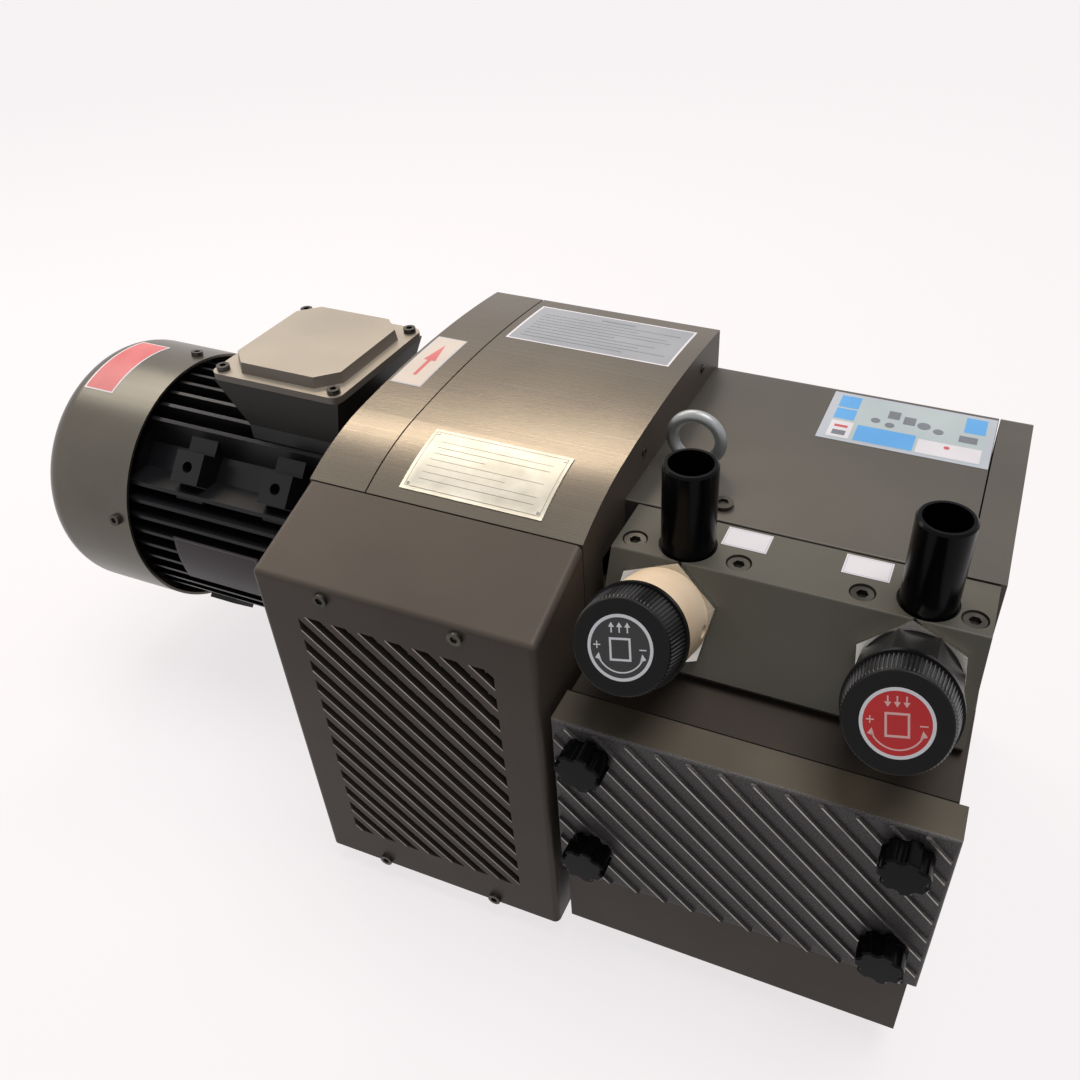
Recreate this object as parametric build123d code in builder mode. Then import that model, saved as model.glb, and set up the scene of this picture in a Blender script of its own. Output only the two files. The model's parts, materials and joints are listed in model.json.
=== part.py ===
from build123d import *
import math
import os

os.makedirs("parts", exist_ok=True)

# A dry-running rotary vane pump for vacuum and blowing air, with its motor. Millimetres, +Z up.
# X runs along the shaft from the motor to the pump end, and -Y is the front with the grille.
# The origin is on the floor, in the middle of the four rubber buffers.

# Clearances
running_gap = 0.05
seat_gap = 0.3
seam_gap = 1.0
air_gap = 0.3
end_play = 0.1

# Casing as a whole
casing_depth = 315.0
front_y = -casing_depth / 2
back_y = casing_depth / 2
base_z = 20.0
house_x0 = -190.0
house_width = 182.0
house_x1 = house_x0 + house_width
pump_x1 = house_x1 + 226.0
cover_wall = 4.0
casting_wall = 8.0

# Shaft line
axis_y = front_y + 195.0
axis_z = base_z + 148.3

# Rubber buffers
foot_x = 145.0
foot_y = 97.5
foot_r = 20.0
foot_plate_t = 2.0
foot_thread_r = 3.4
foot_thread_depth = 9.0

# Side profile of the fan housing, from the front bottom edge of the casing
hood_front_h = 259.2
hood_seam_y = front_y + 65.4
hood_seam_h = 281.0
hood_knee_y = front_y + 125.0
hood_knee_h = 298.0
hood_back_h = 297.5
hood_rise_angle = 25.8
skirt_z = base_z + 262.0
skirt_wall = 3.0
skirt_screw_r = 1.5
skirt_screw_head_r = 3.0
skirt_screw_head_h = 1.2
skirt_screw_drop = 12.0
skirt_screw_ys = (3.0, back_y - 40.0)
strip_width = 39.0
tongue_width = 12.0
tongue_t = 3.0
hood_edge_r = 4.0

# Slanted grille
grille_x = house_x0 + house_width / 2 - 0.5
grille_z = base_z + 130.5
grille_w = house_width - 53.0
grille_h = 204.0
slot_angle = -43.4
slot_pitch = 12.4
slot_w = 6.4
slot_count = 19
hood_screw_x = 43.5
hood_screw_z0 = base_z + 4.0
hood_screw_z1 = base_z + 251.5
hood_screw_head_r = 4.5
hood_screw_head_h = 2.4
hood_screw_r = 2.5
rail_h = 10.0

# Cooler for the blown air, behind the grille
cooler_y = front_y + 26.0
cooler_d = 28.0
cooler_top_z = base_z + 236.0
cooler_tank_w = 16.0
cooler_tube_count = 6
cooler_tube_t = 6.0
cooler_fin_count = 13
cooler_fin_t = 1.2

# Motor
flange_t = 14.0
flange_r = 97.0
spigot_r = 55.0
flange_bolt_circle_r = 78.0
flange_bolt_r = 4.0
frame_x1 = house_x0 - flange_t
frame_length = 203.0
frame_x0 = frame_x1 - frame_length
frame_root_r = 80.0
fin_tip_r = 97.0
fin_t = 2.6
fin_pitch = 12.0
fin_count = 9
stator_r = 74.0
rotor_r = 48.0
core_length = 112.0
core_x0 = frame_x0 + 48.0
core_x1 = core_x0 + core_length
winding_length = 24.0
winding_r0 = 52.0
winding_r1 = 71.0
core_shaft_r = 20.0
lug_angle = 42.0
lug_x = frame_x1 - 111.0
lug_pitch = 78.0
lug_w = 24.0
lug_r = 99.0
lug_bolt_r = 4.2
shield_t = 12.0
shield_x0 = frame_x0 - shield_t
shield_r = 90.0
cowl_r = 103.0
cowl_wall = 2.0
cowl_x0 = frame_x0 - 79.0
cowl_rim_x = frame_x0 + 5.6
cowl_corner_r = 16.0
cowl_screw_angle = 78.0
cowl_slot_w = 7.0
bearing_r = 31.0
bearing_w = 16.0
bearing_seat_r = 15.0
bearing_bore_r = bearing_seat_r + running_gap
bearing_hub_r = 40.0
motor_fan_r = 86.0
motor_fan_w = 26.0
motor_fan_x0 = cowl_x0 + 24.0
motor_fan_seat_r = 11.0
motor_shaft_r = 14.0

# Terminal box on the motor
box_x = frame_x1 - 68.0
box_joint_z = axis_z + 97.2
box_top_z = base_z + 285.0
box_foot_w = 76.0
box_foot_d = 92.0
box_wall = 4.0
lid_w = 105.0
lid_d = 111.0
lid_t = 5.0
lid_corner_r = 7.0
plateau_t = 8.0
plateau_w = 86.0
plateau_d = 95.0
plateau_chamfer = 14.0
lid_screw_x = 45.5
lid_screw_y = 48.5
lid_screw_r = 2.5
lid_screw_head_r = 4.5
lid_screw_head_h = 3.5
gland_z = base_z + 268.0
gland_r = 13.0
gland_bore_r = 6.5
gland_nut_length = 18.0
gland_boss_d = 3.0

# Coupling and cooling fan
coupling_x = house_x0 + 44.0
coupling_r = 32.0
coupling_hub_length = 30.0
jaw_length = 14.0
jaw_half_angle = 18.0
spider_core_r = 17.0
spider_leg_w = 6.0
cooling_fan_r = 95.0
cooling_fan_w = 44.0
cooling_fan_hub_r = 28.0
cooling_fan_blades = 10
blade_t = 2.5

# Vane pump
drive_cover_t = 18.0
drive_spigot_r = 70.0
cylinder_length = 150.0
cylinder_x0 = house_x1 + drive_cover_t
cylinder_x1 = cylinder_x0 + cylinder_length
far_cover_t = 22.0
cap_t = 6.0
bore_r = 75.0
bore_drop = 8.4
cylinder_r = 85.0
cylinder_rib_r = 95.0
rib_t = 3.0
rib_count = 26
end_flange_r = 97.0
end_flange_t = 12.0
pump_shaft_r = 18.0
vane_rotor_r = bore_r - bore_drop - end_play
vane_count = 7
vane_t = 5.0
vane_h = 40.0
cover_bolt_circle_r = 90.0
cover_bolt_r = 4.0
cover_bolt_count = 6
cover_bolt_reach = 10.0
bolt_head_h = 6.0
seal_r = 24.0
seal_w = 5.0
window_w = 34.0
window_y = 86.0
port_w = 80.0
port_h = 22.0
port_z = axis_z - 12.0
port_flange_w = 110.0
port_flange_h = 60.0
leg_w = 40.0

# Pump hood
hood_top_z = base_z + 270.3
top_lip_y = front_y + 129.2
top_lip_h = 22.0
hood_post_r = 6.0
hood_post_y = 72.0
hood_post_zs = (34.5, -33.5)
end_hood_x0 = house_x1 + 204.4
top_corner_r = 8.0
louvre_count = 11
louvre_pitch = 17.0
louvre_w = 130.0
louvre_h = 7.0
top_screw_xs = [house_x1 + 57.7, house_x1 + 184.0]
top_screw_y = front_y + 144.5

# Regulator block
block_x0 = house_x1 + 9.2
block_x1 = house_x1 + 222.9
block_top_z = base_z + 269.5
block_nose_y = front_y + 84.4
block_toe_y = front_y + 57.2
block_toe_z = base_z + 211.8
block_bottom_z = base_z + 205.0
block_undercut = 5.0
block_rear_y = top_lip_y - seam_gap
block_heel_z = base_z + 230.0
block_heel_y = front_y + 107.5
block_screw_y = front_y + 96.0
block_screw_xs = [house_x1 + 19.5, house_x1 + 82.5, house_x1 + 152.8, house_x1 + 213.0]
block_screw_head_r = 6.5
block_screw_head_h = 5.0
block_screw_r = 4.0
block_screw_recess = 6.0
nozzle_y = front_y + 102.0
blow_nozzle_x = house_x1 + 50.0
suction_nozzle_x = house_x1 + 187.5
nozzle_r = 16.0
nozzle_bore_r = 13.0
nozzle_top_z = base_z + 325.6
nozzle_flange_r = 16.8
nozzle_flange_t = 2.0
nozzle_recess_r = 17.2
nozzle_recess_depth = 2.5
nozzle_thread_depth = 24.0
block_passage_r = 14.0

# Regulating valves, square to the slanted face of the block
blow_valve_x = house_x1 + 46.5
suction_valve_x = house_x1 + 187.3
valve_hex_af = 57.0
valve_hex_t = 6.0
blow_hex_turn = 21.2
suction_hex_turn = 38.1
valve_spigot_r = 18.0
valve_spigot_length = 5.0
valve_seat_bore_r = 9.0
valve_tube_r = 22.0
valve_tube_end = 60.0
valve_tube_wall_end = 6.0
spring_bore_r = 15.0
sleeve_r = 28.5
sleeve_af = 54.0
sleeve_end = 47.0
sleeve_band = 3.0
sleeve_port_r = 4.0
knob_rear = 48.0
knob_front = 71.5
knob_ring_r = 30.3
knob_ring_t = 3.5
knob_grip_r = 28.6
knob_face_r = 26.5
knob_edge_r = 1.5
stem_r = 8.0
spring_mean_r = 12.0
spring_wire = 2.0
spring_turns = 5
plate_t = 3.0
plate_s = 44.0
poppet_t = 3.0

# Filter housing and its cover
filter_x0 = house_x1 + 7.0
filter_front_y = front_y + 27.0
lower_front_y = front_y + 6.9
filter_back_y = front_y + 95.0
filter_top_z = block_bottom_z
lower_bottom_z = base_z + 5.4
lower_top_z = base_z + 65.0
cover_x0 = house_x1 + 4.8
cover_x1 = house_x1 + 230.9
cover_z0 = base_z + 65.9
cover_front_y = front_y + 2.0
cover_t = 5.0
cover_edge_r = 2.0
cover_rib_h = 2.0
cover_rib_w = 1.6
cover_rib_pitch = 12.9
cover_rib_angle = -45.0
cover_rib_count = 19
gasket_t = 1.0
chamber_w = 97.0
chamber_h = 120.0
chamber_corner_r = 12.0
post_r = 7.5
cartridge_r = 40.0
cartridge_inner_r = 20.0
cartridge_pleats = 24
grip_x0 = house_x1 + 27.7
grip_x1 = house_x1 + 207.3
grip_z0 = base_z + 99.6
grip_z1 = base_z + 185.6
grip_r = 14.0
grip_h = 15.0
grip_lobes = 7
grip_boss_r = 10.0
stud_r = 3.0
stud_reach = 12.0

# Lifting eye
eye_x = house_x1 + 28.0
eye_y = front_y + 180.0
eye_outer_r = 20.0
eye_inner_r = 12.0
eye_collar_r = 10.0
eye_collar_t = 5.0
eye_stem_r = 5.0
eye_stem_length = 22.0
eye_post_w = 20.0

# Planes and axes
shaft_axis = Axis((0, axis_y, axis_z), (1, 0, 0))
shaft_section = Plane(origin=(0, axis_y, axis_z), x_dir=(1, 0, 0), z_dir=(0, -1, 0))
house_mid_x = (house_x0 + house_x1) / 2
face_length = math.hypot(block_nose_y - block_toe_y, block_top_z - block_toe_z)
valve_dir_y = -(block_top_z - block_toe_z) / face_length
valve_dir_z = (block_nose_y - block_toe_y) / face_length
valve_face_y = (block_nose_y + block_toe_y) / 2
valve_face_z = (block_top_z + block_toe_z) / 2
grip_spots = [(x, z) for z in (grip_z0, grip_z1) for x in (grip_x0, grip_x1)]
hood_post_spots = [(side * hood_post_y, z) for side in (-1, 1) for z in hood_post_zs]


def across(x):
    """Plane across the shaft at x, centred on it: local X is +Y and local Y is +Z."""
    return Plane(origin=(x, axis_y, axis_z), x_dir=(0, 1, 0), z_dir=(1, 0, 0))


def facing_front(y):
    """Upright plane at y that faces the front: local X is +X and local Y is +Z."""
    return Plane(origin=(0, y, 0), x_dir=(1, 0, 0), z_dir=(0, -1, 0))


def on_valve(x, distance):
    """Plane square to a regulating valve's axis, at a distance from the block's slanted face."""
    y = valve_face_y + distance * valve_dir_y
    z = valve_face_z + distance * valve_dir_z
    return Plane(origin=(x, y, z), x_dir=(1, 0, 0), z_dir=(0, valve_dir_y, valve_dir_z))


def outline(plane, *corners):
    """Flat outline with straight sides on a plane."""
    with BuildSketch(plane) as flat:
        with BuildLine():
            Polyline(*corners, close=True)
        make_face()
    return flat.sketch


def turned(*corners):
    """Half section of a piece turned about the shaft, from its (x, radius) corners."""
    return outline(shaft_section, *corners)


def disc(plane, radius, hole_r=0.0, spots=((0, 0),)):
    """Circles on a plane, each with a hole if one is given."""
    with BuildSketch(plane) as flat:
        with Locations(*spots):
            Circle(radius)
            if hole_r > 0:
                Circle(hole_r, mode=Mode.SUBTRACT)
    return flat.sketch


def bearing_section(x):
    """Half section of a ball bearing from x on, with a recessed seal between its rings."""
    ring = 4.0
    recess = 0.8
    x1 = x + bearing_w
    return turned(
        (x, bearing_bore_r),
        (x1, bearing_bore_r),
        (x1, bearing_bore_r + ring),
        (x1 - recess, bearing_bore_r + ring),
        (x1 - recess, bearing_r - ring),
        (x1, bearing_r - ring),
        (x1, bearing_r),
        (x, bearing_r),
        (x, bearing_r - ring),
        (x + recess, bearing_r - ring),
        (x + recess, bearing_bore_r + ring),
        (x, bearing_bore_r + ring),
    )


def add_cap_screws(plane, spots, head_r, head_h, stem_r, stem_length):
    """Screws with a hexagon socket, their heads standing on a plane, as separate solids."""
    socket_depth = 0.6 * head_h
    extrude(disc(plane, head_r, spots=spots), amount=head_h)
    extrude(disc(plane, stem_r, spots=spots), amount=-stem_length)
    with BuildSketch(plane.offset(head_h)) as sockets:
        with Locations(*spots):
            RegularPolygon(radius=0.55 * head_r, side_count=6)
    extrude(sockets.sketch, amount=-socket_depth, mode=Mode.SUBTRACT)


def add_hex_bolts(plane, spots, head_r, head_h, stem_r, stem_length):
    """Bolts with hexagon heads standing on a plane, as separate solids."""
    with BuildSketch(plane) as heads:
        with Locations(*spots):
            RegularPolygon(radius=head_r, side_count=6)
    extrude(heads.sketch, amount=head_h)
    extrude(disc(plane, stem_r, spots=spots), amount=-stem_length)


def around(radius, count, start_angle=0.0):
    """Points evenly spaced on a circle."""
    turns = [math.radians(start_angle + 360.0 * i / count) for i in range(count)]
    return [(radius * math.cos(turn), radius * math.sin(turn)) for turn in turns]


def save(piece, name):
    """Label a finished piece and write it out."""
    piece.part.label = name
    export_step(piece.part, f"parts/{name}.step")


# Rubber buffers, each with a steel plate above and a threaded one below
foot_grid = [(x, y) for y in (-foot_y, foot_y) for x in (-foot_x, foot_x)]
with BuildPart() as rubber_feet:
    extrude(disc(Plane.XY.offset(foot_plate_t), foot_r, spots=foot_grid), amount=base_z - 2 * foot_plate_t)
    extrude(
        disc(Plane.XY.offset(foot_plate_t), foot_thread_r, spots=foot_grid),
        amount=foot_thread_depth - foot_plate_t,
        mode=Mode.SUBTRACT,
    )
save(rubber_feet, "rubber_feet")

with BuildPart() as foot_plates:
    extrude(disc(Plane.XY, foot_r - 1.0, foot_thread_r, foot_grid), amount=foot_plate_t)
    extrude(disc(Plane.XY.offset(base_z), foot_r - 1.0, spots=foot_grid), amount=-foot_plate_t)
save(foot_plates, "foot_plates")


# Fan housing: two walls, a floor and a back, under a sloping hood and an arched one
def hood_profile(x, inset, y0, y1, z0):
    """Side profile under the hoods between two depths and above z0, across the casing at x."""
    front_top = (front_y, base_z + hood_front_h - inset)
    seam = (hood_seam_y, base_z + hood_seam_h - inset)
    knee = (hood_knee_y, base_z + hood_knee_h - inset)
    back = (back_y, base_z + hood_back_h - inset)
    rise = (math.cos(math.radians(hood_rise_angle)), math.sin(math.radians(hood_rise_angle)))
    with BuildSketch(Plane.YZ.offset(x)) as profile:
        with BuildLine():
            Line(front_top, seam)
            shoulder = TangentArc(seam, knee, tangent=rise)
            TangentArc(knee, back, tangent=shoulder % 1)
            Polyline(back, (back_y, 0), (front_y, 0), front_top)
        make_face()
        with Locations(((y0 + y1) / 2, z0 + hood_knee_h)):
            Rectangle(y1 - y0, 2 * hood_knee_h, mode=Mode.INTERSECT)
    return profile.sketch


hood_screw_xs = (grille_x - hood_screw_x, grille_x + hood_screw_x)
hood_screw_spots = [(x, z) for z in (hood_screw_z0, hood_screw_z1) for x in hood_screw_xs]
skirt_screw_spots = [(y, base_z + hood_knee_h - skirt_screw_drop) for y in skirt_screw_ys]
flange_bolt_spots = around(flange_bolt_circle_r, 4, 45.0)
cover_bolt_spots = around(cover_bolt_circle_r, cover_bolt_count, 0.0)
window_spots = [(side * window_y, up * window_y) for side in (-1, 1) for up in (-1, 1)]
front_inner_y = front_y + cover_wall

with BuildPart() as fan_housing:
    for wall_x in (house_x0, house_x1 - casting_wall):
        extrude(hood_profile(wall_x, cover_wall, hood_seam_y, back_y, base_z), amount=casting_wall)
    for wall_x in (house_x0 + cover_wall, house_x1 - casting_wall):
        cheek = hood_profile(wall_x, cover_wall, front_inner_y, hood_seam_y, base_z)
        extrude(cheek, amount=casting_wall - cover_wall)
    extrude(hood_profile(house_x0, cover_wall, back_y - casting_wall, back_y, base_z), amount=house_width)
    with BuildSketch(Plane.XY.offset(base_z)):
        with Locations((house_mid_x, (front_inner_y + back_y) / 2)):
            Rectangle(house_width - 2 * cover_wall, back_y - front_inner_y)
    extrude(amount=casting_wall)
    with BuildSketch(facing_front(front_inner_y)):
        with Locations((house_mid_x, hood_screw_z1 - 1.0)):
            Rectangle(house_width - 2 * cover_wall, rail_h)
    extrude(amount=-rail_h)
    with BuildSketch(Plane.XY.offset(skirt_z)):
        with Locations((house_x0, back_y), (house_x1, back_y)):
            Rectangle(2 * skirt_wall, 2 * (back_y - hood_seam_y))
    extrude(amount=hood_knee_h, mode=Mode.SUBTRACT)
    extrude(disc(across(house_x0), spigot_r), amount=casting_wall, mode=Mode.SUBTRACT)
    extrude(
        disc(across(house_x0), flange_bolt_r, spots=flange_bolt_spots),
        amount=casting_wall,
        mode=Mode.SUBTRACT,
    )
    extrude(disc(across(house_x1), drive_spigot_r), amount=-casting_wall, mode=Mode.SUBTRACT)
    extrude(
        disc(across(house_x1), cover_bolt_r, spots=cover_bolt_spots),
        amount=-casting_wall,
        mode=Mode.SUBTRACT,
    )
    with BuildSketch(across(house_x1)):
        with Locations(*window_spots):
            Rectangle(window_w, window_w)
    extrude(amount=-casting_wall, mode=Mode.SUBTRACT)
    extrude(
        disc(facing_front(front_inner_y), hood_screw_r, spots=hood_screw_spots),
        amount=-rail_h,
        mode=Mode.SUBTRACT,
    )
save(fan_housing, "fan_housing")

# Front hood with its slanted grille
with BuildPart() as grille_hood:
    extrude(hood_profile(house_x0, 0, front_y, hood_seam_y - seam_gap, base_z), amount=house_width)
    rounded = grille_hood.edges().filter_by(Axis.X).group_by(Axis.Y)[0]
    fillet(rounded.sort_by(Axis.Z)[-1], radius=hood_edge_r)
    fillet(grille_hood.faces().sort_by(Axis.Y)[0].edges().filter_by(Axis.Z), radius=hood_edge_r)
    extrude(
        hood_profile(house_x0 + cover_wall, cover_wall, front_inner_y, hood_seam_y, base_z - seam_gap),
        amount=house_width - 2 * cover_wall,
        mode=Mode.SUBTRACT,
    )
    with BuildSketch(facing_front(front_y)):
        with Locations(Location((grille_x, grille_z, 0), (0, 0, slot_angle))):
            with GridLocations(0, slot_pitch, 1, slot_count):
                Rectangle(2 * grille_h, slot_w)
        with Locations((grille_x, grille_z)):
            Rectangle(grille_w, grille_h, mode=Mode.INTERSECT)
    extrude(amount=-cover_wall, mode=Mode.SUBTRACT)
    extrude(
        disc(facing_front(front_y), hood_screw_r, spots=hood_screw_spots),
        amount=-cover_wall,
        mode=Mode.SUBTRACT,
    )
save(grille_hood, "grille_hood")


def arched_plate(x0, x1, skirt_x0, skirt_x1):
    """Arched sheet from x0 to x1, hollow underneath between its skirts."""
    extrude(hood_profile(x0, 0, hood_seam_y, back_y, skirt_z), amount=x1 - x0)
    hollow = hood_profile(skirt_x0, cover_wall, front_y, back_y + seam_gap, skirt_z - seam_gap)
    extrude(hollow, amount=skirt_x1 - skirt_x0, mode=Mode.SUBTRACT)


strip_x1 = house_x0 + strip_width
with BuildPart() as hood_strip:
    arched_plate(house_x0, strip_x1, house_x0 + skirt_wall, strip_x1)
    tongue_y1 = back_y - casting_wall - seam_gap
    tongue_x0 = strip_x1 - tongue_width
    tongue = hood_profile(tongue_x0, cover_wall, hood_seam_y, tongue_y1, skirt_z)
    extrude(tongue, amount=2 * tongue_width)
    under = hood_profile(tongue_x0, cover_wall + tongue_t, front_y, back_y, skirt_z - seam_gap)
    extrude(under, amount=2 * tongue_width, mode=Mode.SUBTRACT)
save(hood_strip, "hood_strip")

with BuildPart() as arc_hood:
    arched_plate(strip_x1 + seam_gap, house_x1, strip_x1 + seam_gap, house_x1 - skirt_wall)
    extrude(
        disc(Plane.YZ.offset(house_x1), skirt_screw_r, spots=skirt_screw_spots),
        amount=-skirt_wall,
        mode=Mode.SUBTRACT,
    )
save(arc_hood, "arc_hood")

with BuildPart() as hood_screws:
    add_cap_screws(
        facing_front(front_y),
        hood_screw_spots,
        hood_screw_head_r,
        hood_screw_head_h,
        hood_screw_r,
        cover_wall + rail_h,
    )
    add_cap_screws(
        Plane.YZ.offset(house_x1),
        skirt_screw_spots,
        skirt_screw_head_r,
        skirt_screw_head_h,
        skirt_screw_r,
        skirt_wall,
    )
save(hood_screws, "hood_screws")

# Cooler: two tanks on the floor of the housing, with flat tubes and fins between them
tank_x0 = house_x0 + casting_wall
tank_x1 = house_x1 - casting_wall
cooler_z0 = base_z + casting_wall
cooler_h = cooler_top_z - cooler_z0
with BuildPart() as cooler:
    with BuildSketch(Plane.XY.offset(cooler_z0)):
        for tank_x in (tank_x0 + cooler_tank_w / 2, tank_x1 - cooler_tank_w / 2):
            with Locations((tank_x, cooler_y)):
                Rectangle(cooler_tank_w, cooler_d)
    extrude(amount=cooler_h)
    with BuildSketch(Plane.YZ.offset(tank_x0 + cooler_tank_w)):
        with Locations((cooler_y, cooler_z0 + cooler_h / 2)):
            with GridLocations(0, cooler_h / cooler_tube_count, 1, cooler_tube_count):
                Rectangle(0.7 * cooler_d, cooler_tube_t)
    extrude(amount=tank_x1 - tank_x0 - 2 * cooler_tank_w)
    with BuildSketch(Plane.XY.offset(cooler_z0 + cooler_tube_t)):
        with Locations((house_mid_x, cooler_y)):
            with GridLocations((tank_x1 - tank_x0 - 2 * cooler_tank_w) / cooler_fin_count, 0, cooler_fin_count, 1):
                Rectangle(cooler_fin_t, cooler_d)
    extrude(amount=cooler_h - 2 * cooler_tube_t)
save(cooler, "cooler")

# Motor frame: one extruded section with straight fins, foot lugs on its four diagonals
frame_bore_plane = across(frame_x0)
with BuildPart() as motor_frame:
    with BuildSketch(frame_bore_plane):
        with GridLocations(0, fin_pitch, 1, fin_count):
            Rectangle(2 * fin_tip_r, fin_t)
        with GridLocations(fin_pitch, 0, fin_count, 1):
            Rectangle(fin_t, 2 * fin_tip_r)
        Circle(fin_tip_r, mode=Mode.INTERSECT)
        Circle(frame_root_r)
    extrude(amount=frame_length)
    for side in (-1, 1):
        for up in (-1, 1):
            lean = math.radians(lug_angle)
            out = (0, side * math.cos(lean), up * math.sin(lean))
            lug_plane = Plane(origin=(lug_x, axis_y, axis_z), x_dir=(1, 0, 0), z_dir=out)
            with BuildSketch(lug_plane.offset(stator_r)):
                with GridLocations(lug_pitch, 0, 2, 1):
                    Rectangle(lug_w, 2 * lug_w)
            extrude(amount=frame_root_r + 8.0 - stator_r)
            with BuildSketch(lug_plane.offset(stator_r)):
                with GridLocations(lug_pitch, 0, 2, 1):
                    Rectangle(lug_w, lug_w)
                    Circle(lug_bolt_r, mode=Mode.SUBTRACT)
            extrude(amount=lug_r - stator_r)
    with BuildSketch(Plane.XY.offset(axis_z)):
        with Locations((box_x, axis_y)):
            Rectangle(box_foot_w, box_foot_d)
    extrude(amount=box_joint_z - axis_z)
    extrude(disc(frame_bore_plane, stator_r), amount=frame_length, mode=Mode.SUBTRACT)
save(motor_frame, "motor_frame")

# Motor end shields: the far one carries the cowl on four lugs, the near one is the flange
far_bearing_x = shield_x0 - 4.0
near_bearing_x = frame_x1 - 3.0
with BuildPart() as motor_end_shield:
    with BuildSketch(across(shield_x0)):
        with PolarLocations(shield_r, 4, start_angle=cowl_screw_angle):
            Rectangle(30.0, 16.0)
        Circle(cowl_r - cowl_wall, mode=Mode.INTERSECT)
        Circle(shield_r)
    extrude(amount=shield_t)
    hub_x = far_bearing_x - 3.0
    revolve(
        turned(
            (shield_x0, 0),
            (hub_x, 0),
            (hub_x, bearing_hub_r),
            (shield_x0, bearing_hub_r + 8.0),
        ),
        axis=shaft_axis,
    )
    extrude(disc(across(hub_x), bearing_r - 5.0), amount=3.0, mode=Mode.SUBTRACT)
    extrude(disc(across(far_bearing_x), bearing_r), amount=shield_t + 4.0, mode=Mode.SUBTRACT)
save(motor_end_shield, "motor_end_shield")

with BuildPart() as motor_flange:
    spigot_x1 = house_x0 + casting_wall
    near_bearing_x1 = near_bearing_x + bearing_w
    revolve(
        turned(
            (near_bearing_x - 2.0, bearing_r),
            (near_bearing_x1, bearing_r),
            (near_bearing_x1, motor_shaft_r + 4.0),
            (spigot_x1, motor_shaft_r + 4.0),
            (spigot_x1, spigot_r - running_gap),
            (house_x0, spigot_r - running_gap),
            (house_x0, flange_r),
            (frame_x1, flange_r),
            (frame_x1, bearing_hub_r),
            (near_bearing_x - 2.0, bearing_hub_r),
        ),
        axis=shaft_axis,
    )
    extrude(
        disc(across(house_x0), flange_bolt_r, spots=flange_bolt_spots),
        amount=-bolt_head_h,
        mode=Mode.SUBTRACT,
    )
save(motor_flange, "motor_flange")

with BuildPart() as stator_core:
    extrude(disc(across(core_x0), stator_r, rotor_r + air_gap), amount=core_length)
save(stator_core, "stator_core")

with BuildPart() as stator_windings:
    for root_x, tip_x in ((core_x0, core_x0 - winding_length), (core_x1, core_x1 + winding_length)):
        bevel = 6.0 if tip_x > root_x else -6.0
        revolve(
            turned(
                (root_x, winding_r0),
                (tip_x, winding_r0),
                (tip_x, winding_r1 - 6.0),
                (tip_x - bevel, winding_r1),
                (root_x, winding_r1),
            ),
            axis=shaft_axis,
        )
save(stator_windings, "stator_windings")

# Fan cowl: a drawn cup with two rings of slots in its end
cowl_screw_x = shield_x0 + shield_t / 2
cowl_screw_dirs = around(1.0, 4, cowl_screw_angle)


def cowl_screw_plane(turn, radius):
    """Plane on the cowl's side at one of its four screws."""
    y = axis_y + radius * turn[0]
    z = axis_z + radius * turn[1]
    return Plane(origin=(cowl_screw_x, y, z), x_dir=(1, 0, 0), z_dir=(0, turn[0], turn[1]))


with BuildPart() as fan_cowl:
    extrude(disc(across(cowl_x0), cowl_r), amount=cowl_rim_x - cowl_x0)
    fillet(fan_cowl.faces().sort_by(Axis.X)[0].edges(), radius=cowl_corner_r)
    offset(amount=-cowl_wall, openings=fan_cowl.faces().sort_by(Axis.X)[-1])
    with BuildSketch(across(cowl_x0)):
        with PolarLocations(38.0, 12):
            Rectangle(24.0, cowl_slot_w)
        with PolarLocations(66.0, 20):
            Rectangle(22.0, cowl_slot_w)
    extrude(amount=cowl_wall, mode=Mode.SUBTRACT)
    for turn in cowl_screw_dirs:
        hole = disc(cowl_screw_plane(turn, cowl_r), hood_screw_r)
        extrude(hole, amount=-2 * cowl_wall, mode=Mode.SUBTRACT)
save(fan_cowl, "fan_cowl")

# Terminal box: a tapered case on the motor's seat, with its board, lid and gland
box_plane = Plane(origin=(box_x, axis_y, box_joint_z))
box_h = box_top_z - box_joint_z
gland_wall_y = axis_y + lid_d / 2 + gland_boss_d
with BuildPart() as terminal_box:
    with BuildSketch(box_plane):
        Rectangle(box_foot_w, box_foot_d)
    with BuildSketch(box_plane.offset(box_h)):
        Rectangle(lid_w - 2.0, lid_d - 2.0)
    loft()
    with BuildSketch(facing_front(gland_wall_y)):
        with Locations((box_x, gland_z)):
            Rectangle(2 * gland_r + 4.0, 2 * gland_r)
    extrude(amount=gland_boss_d + 12.0)
    with BuildSketch(box_plane.offset(box_wall)):
        Rectangle(box_foot_w - 2 * box_wall, box_foot_d - 2 * box_wall)
    with BuildSketch(box_plane.offset(box_h)):
        Rectangle(lid_w - 2.0 - 2 * box_wall, lid_d - 2.0 - 2 * box_wall)
    loft(mode=Mode.SUBTRACT)
    extrude(
        disc(facing_front(gland_wall_y), gland_bore_r + 1.0, spots=[(box_x, gland_z)]),
        amount=gland_boss_d + 16.0,
        mode=Mode.SUBTRACT,
    )
    lid_screw_spots = [(x, y) for y in (-lid_screw_y, lid_screw_y) for x in (-lid_screw_x, lid_screw_x)]
    post_spots = [(0.94 * x, 0.94 * y) for x, y in lid_screw_spots]
    extrude(disc(box_plane.offset(box_h), 5.5, spots=post_spots), amount=-10.0)
    extrude(
        disc(box_plane.offset(box_h), lid_screw_r, spots=lid_screw_spots),
        amount=-8.0,
        mode=Mode.SUBTRACT,
    )
save(terminal_box, "terminal_box")

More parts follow.
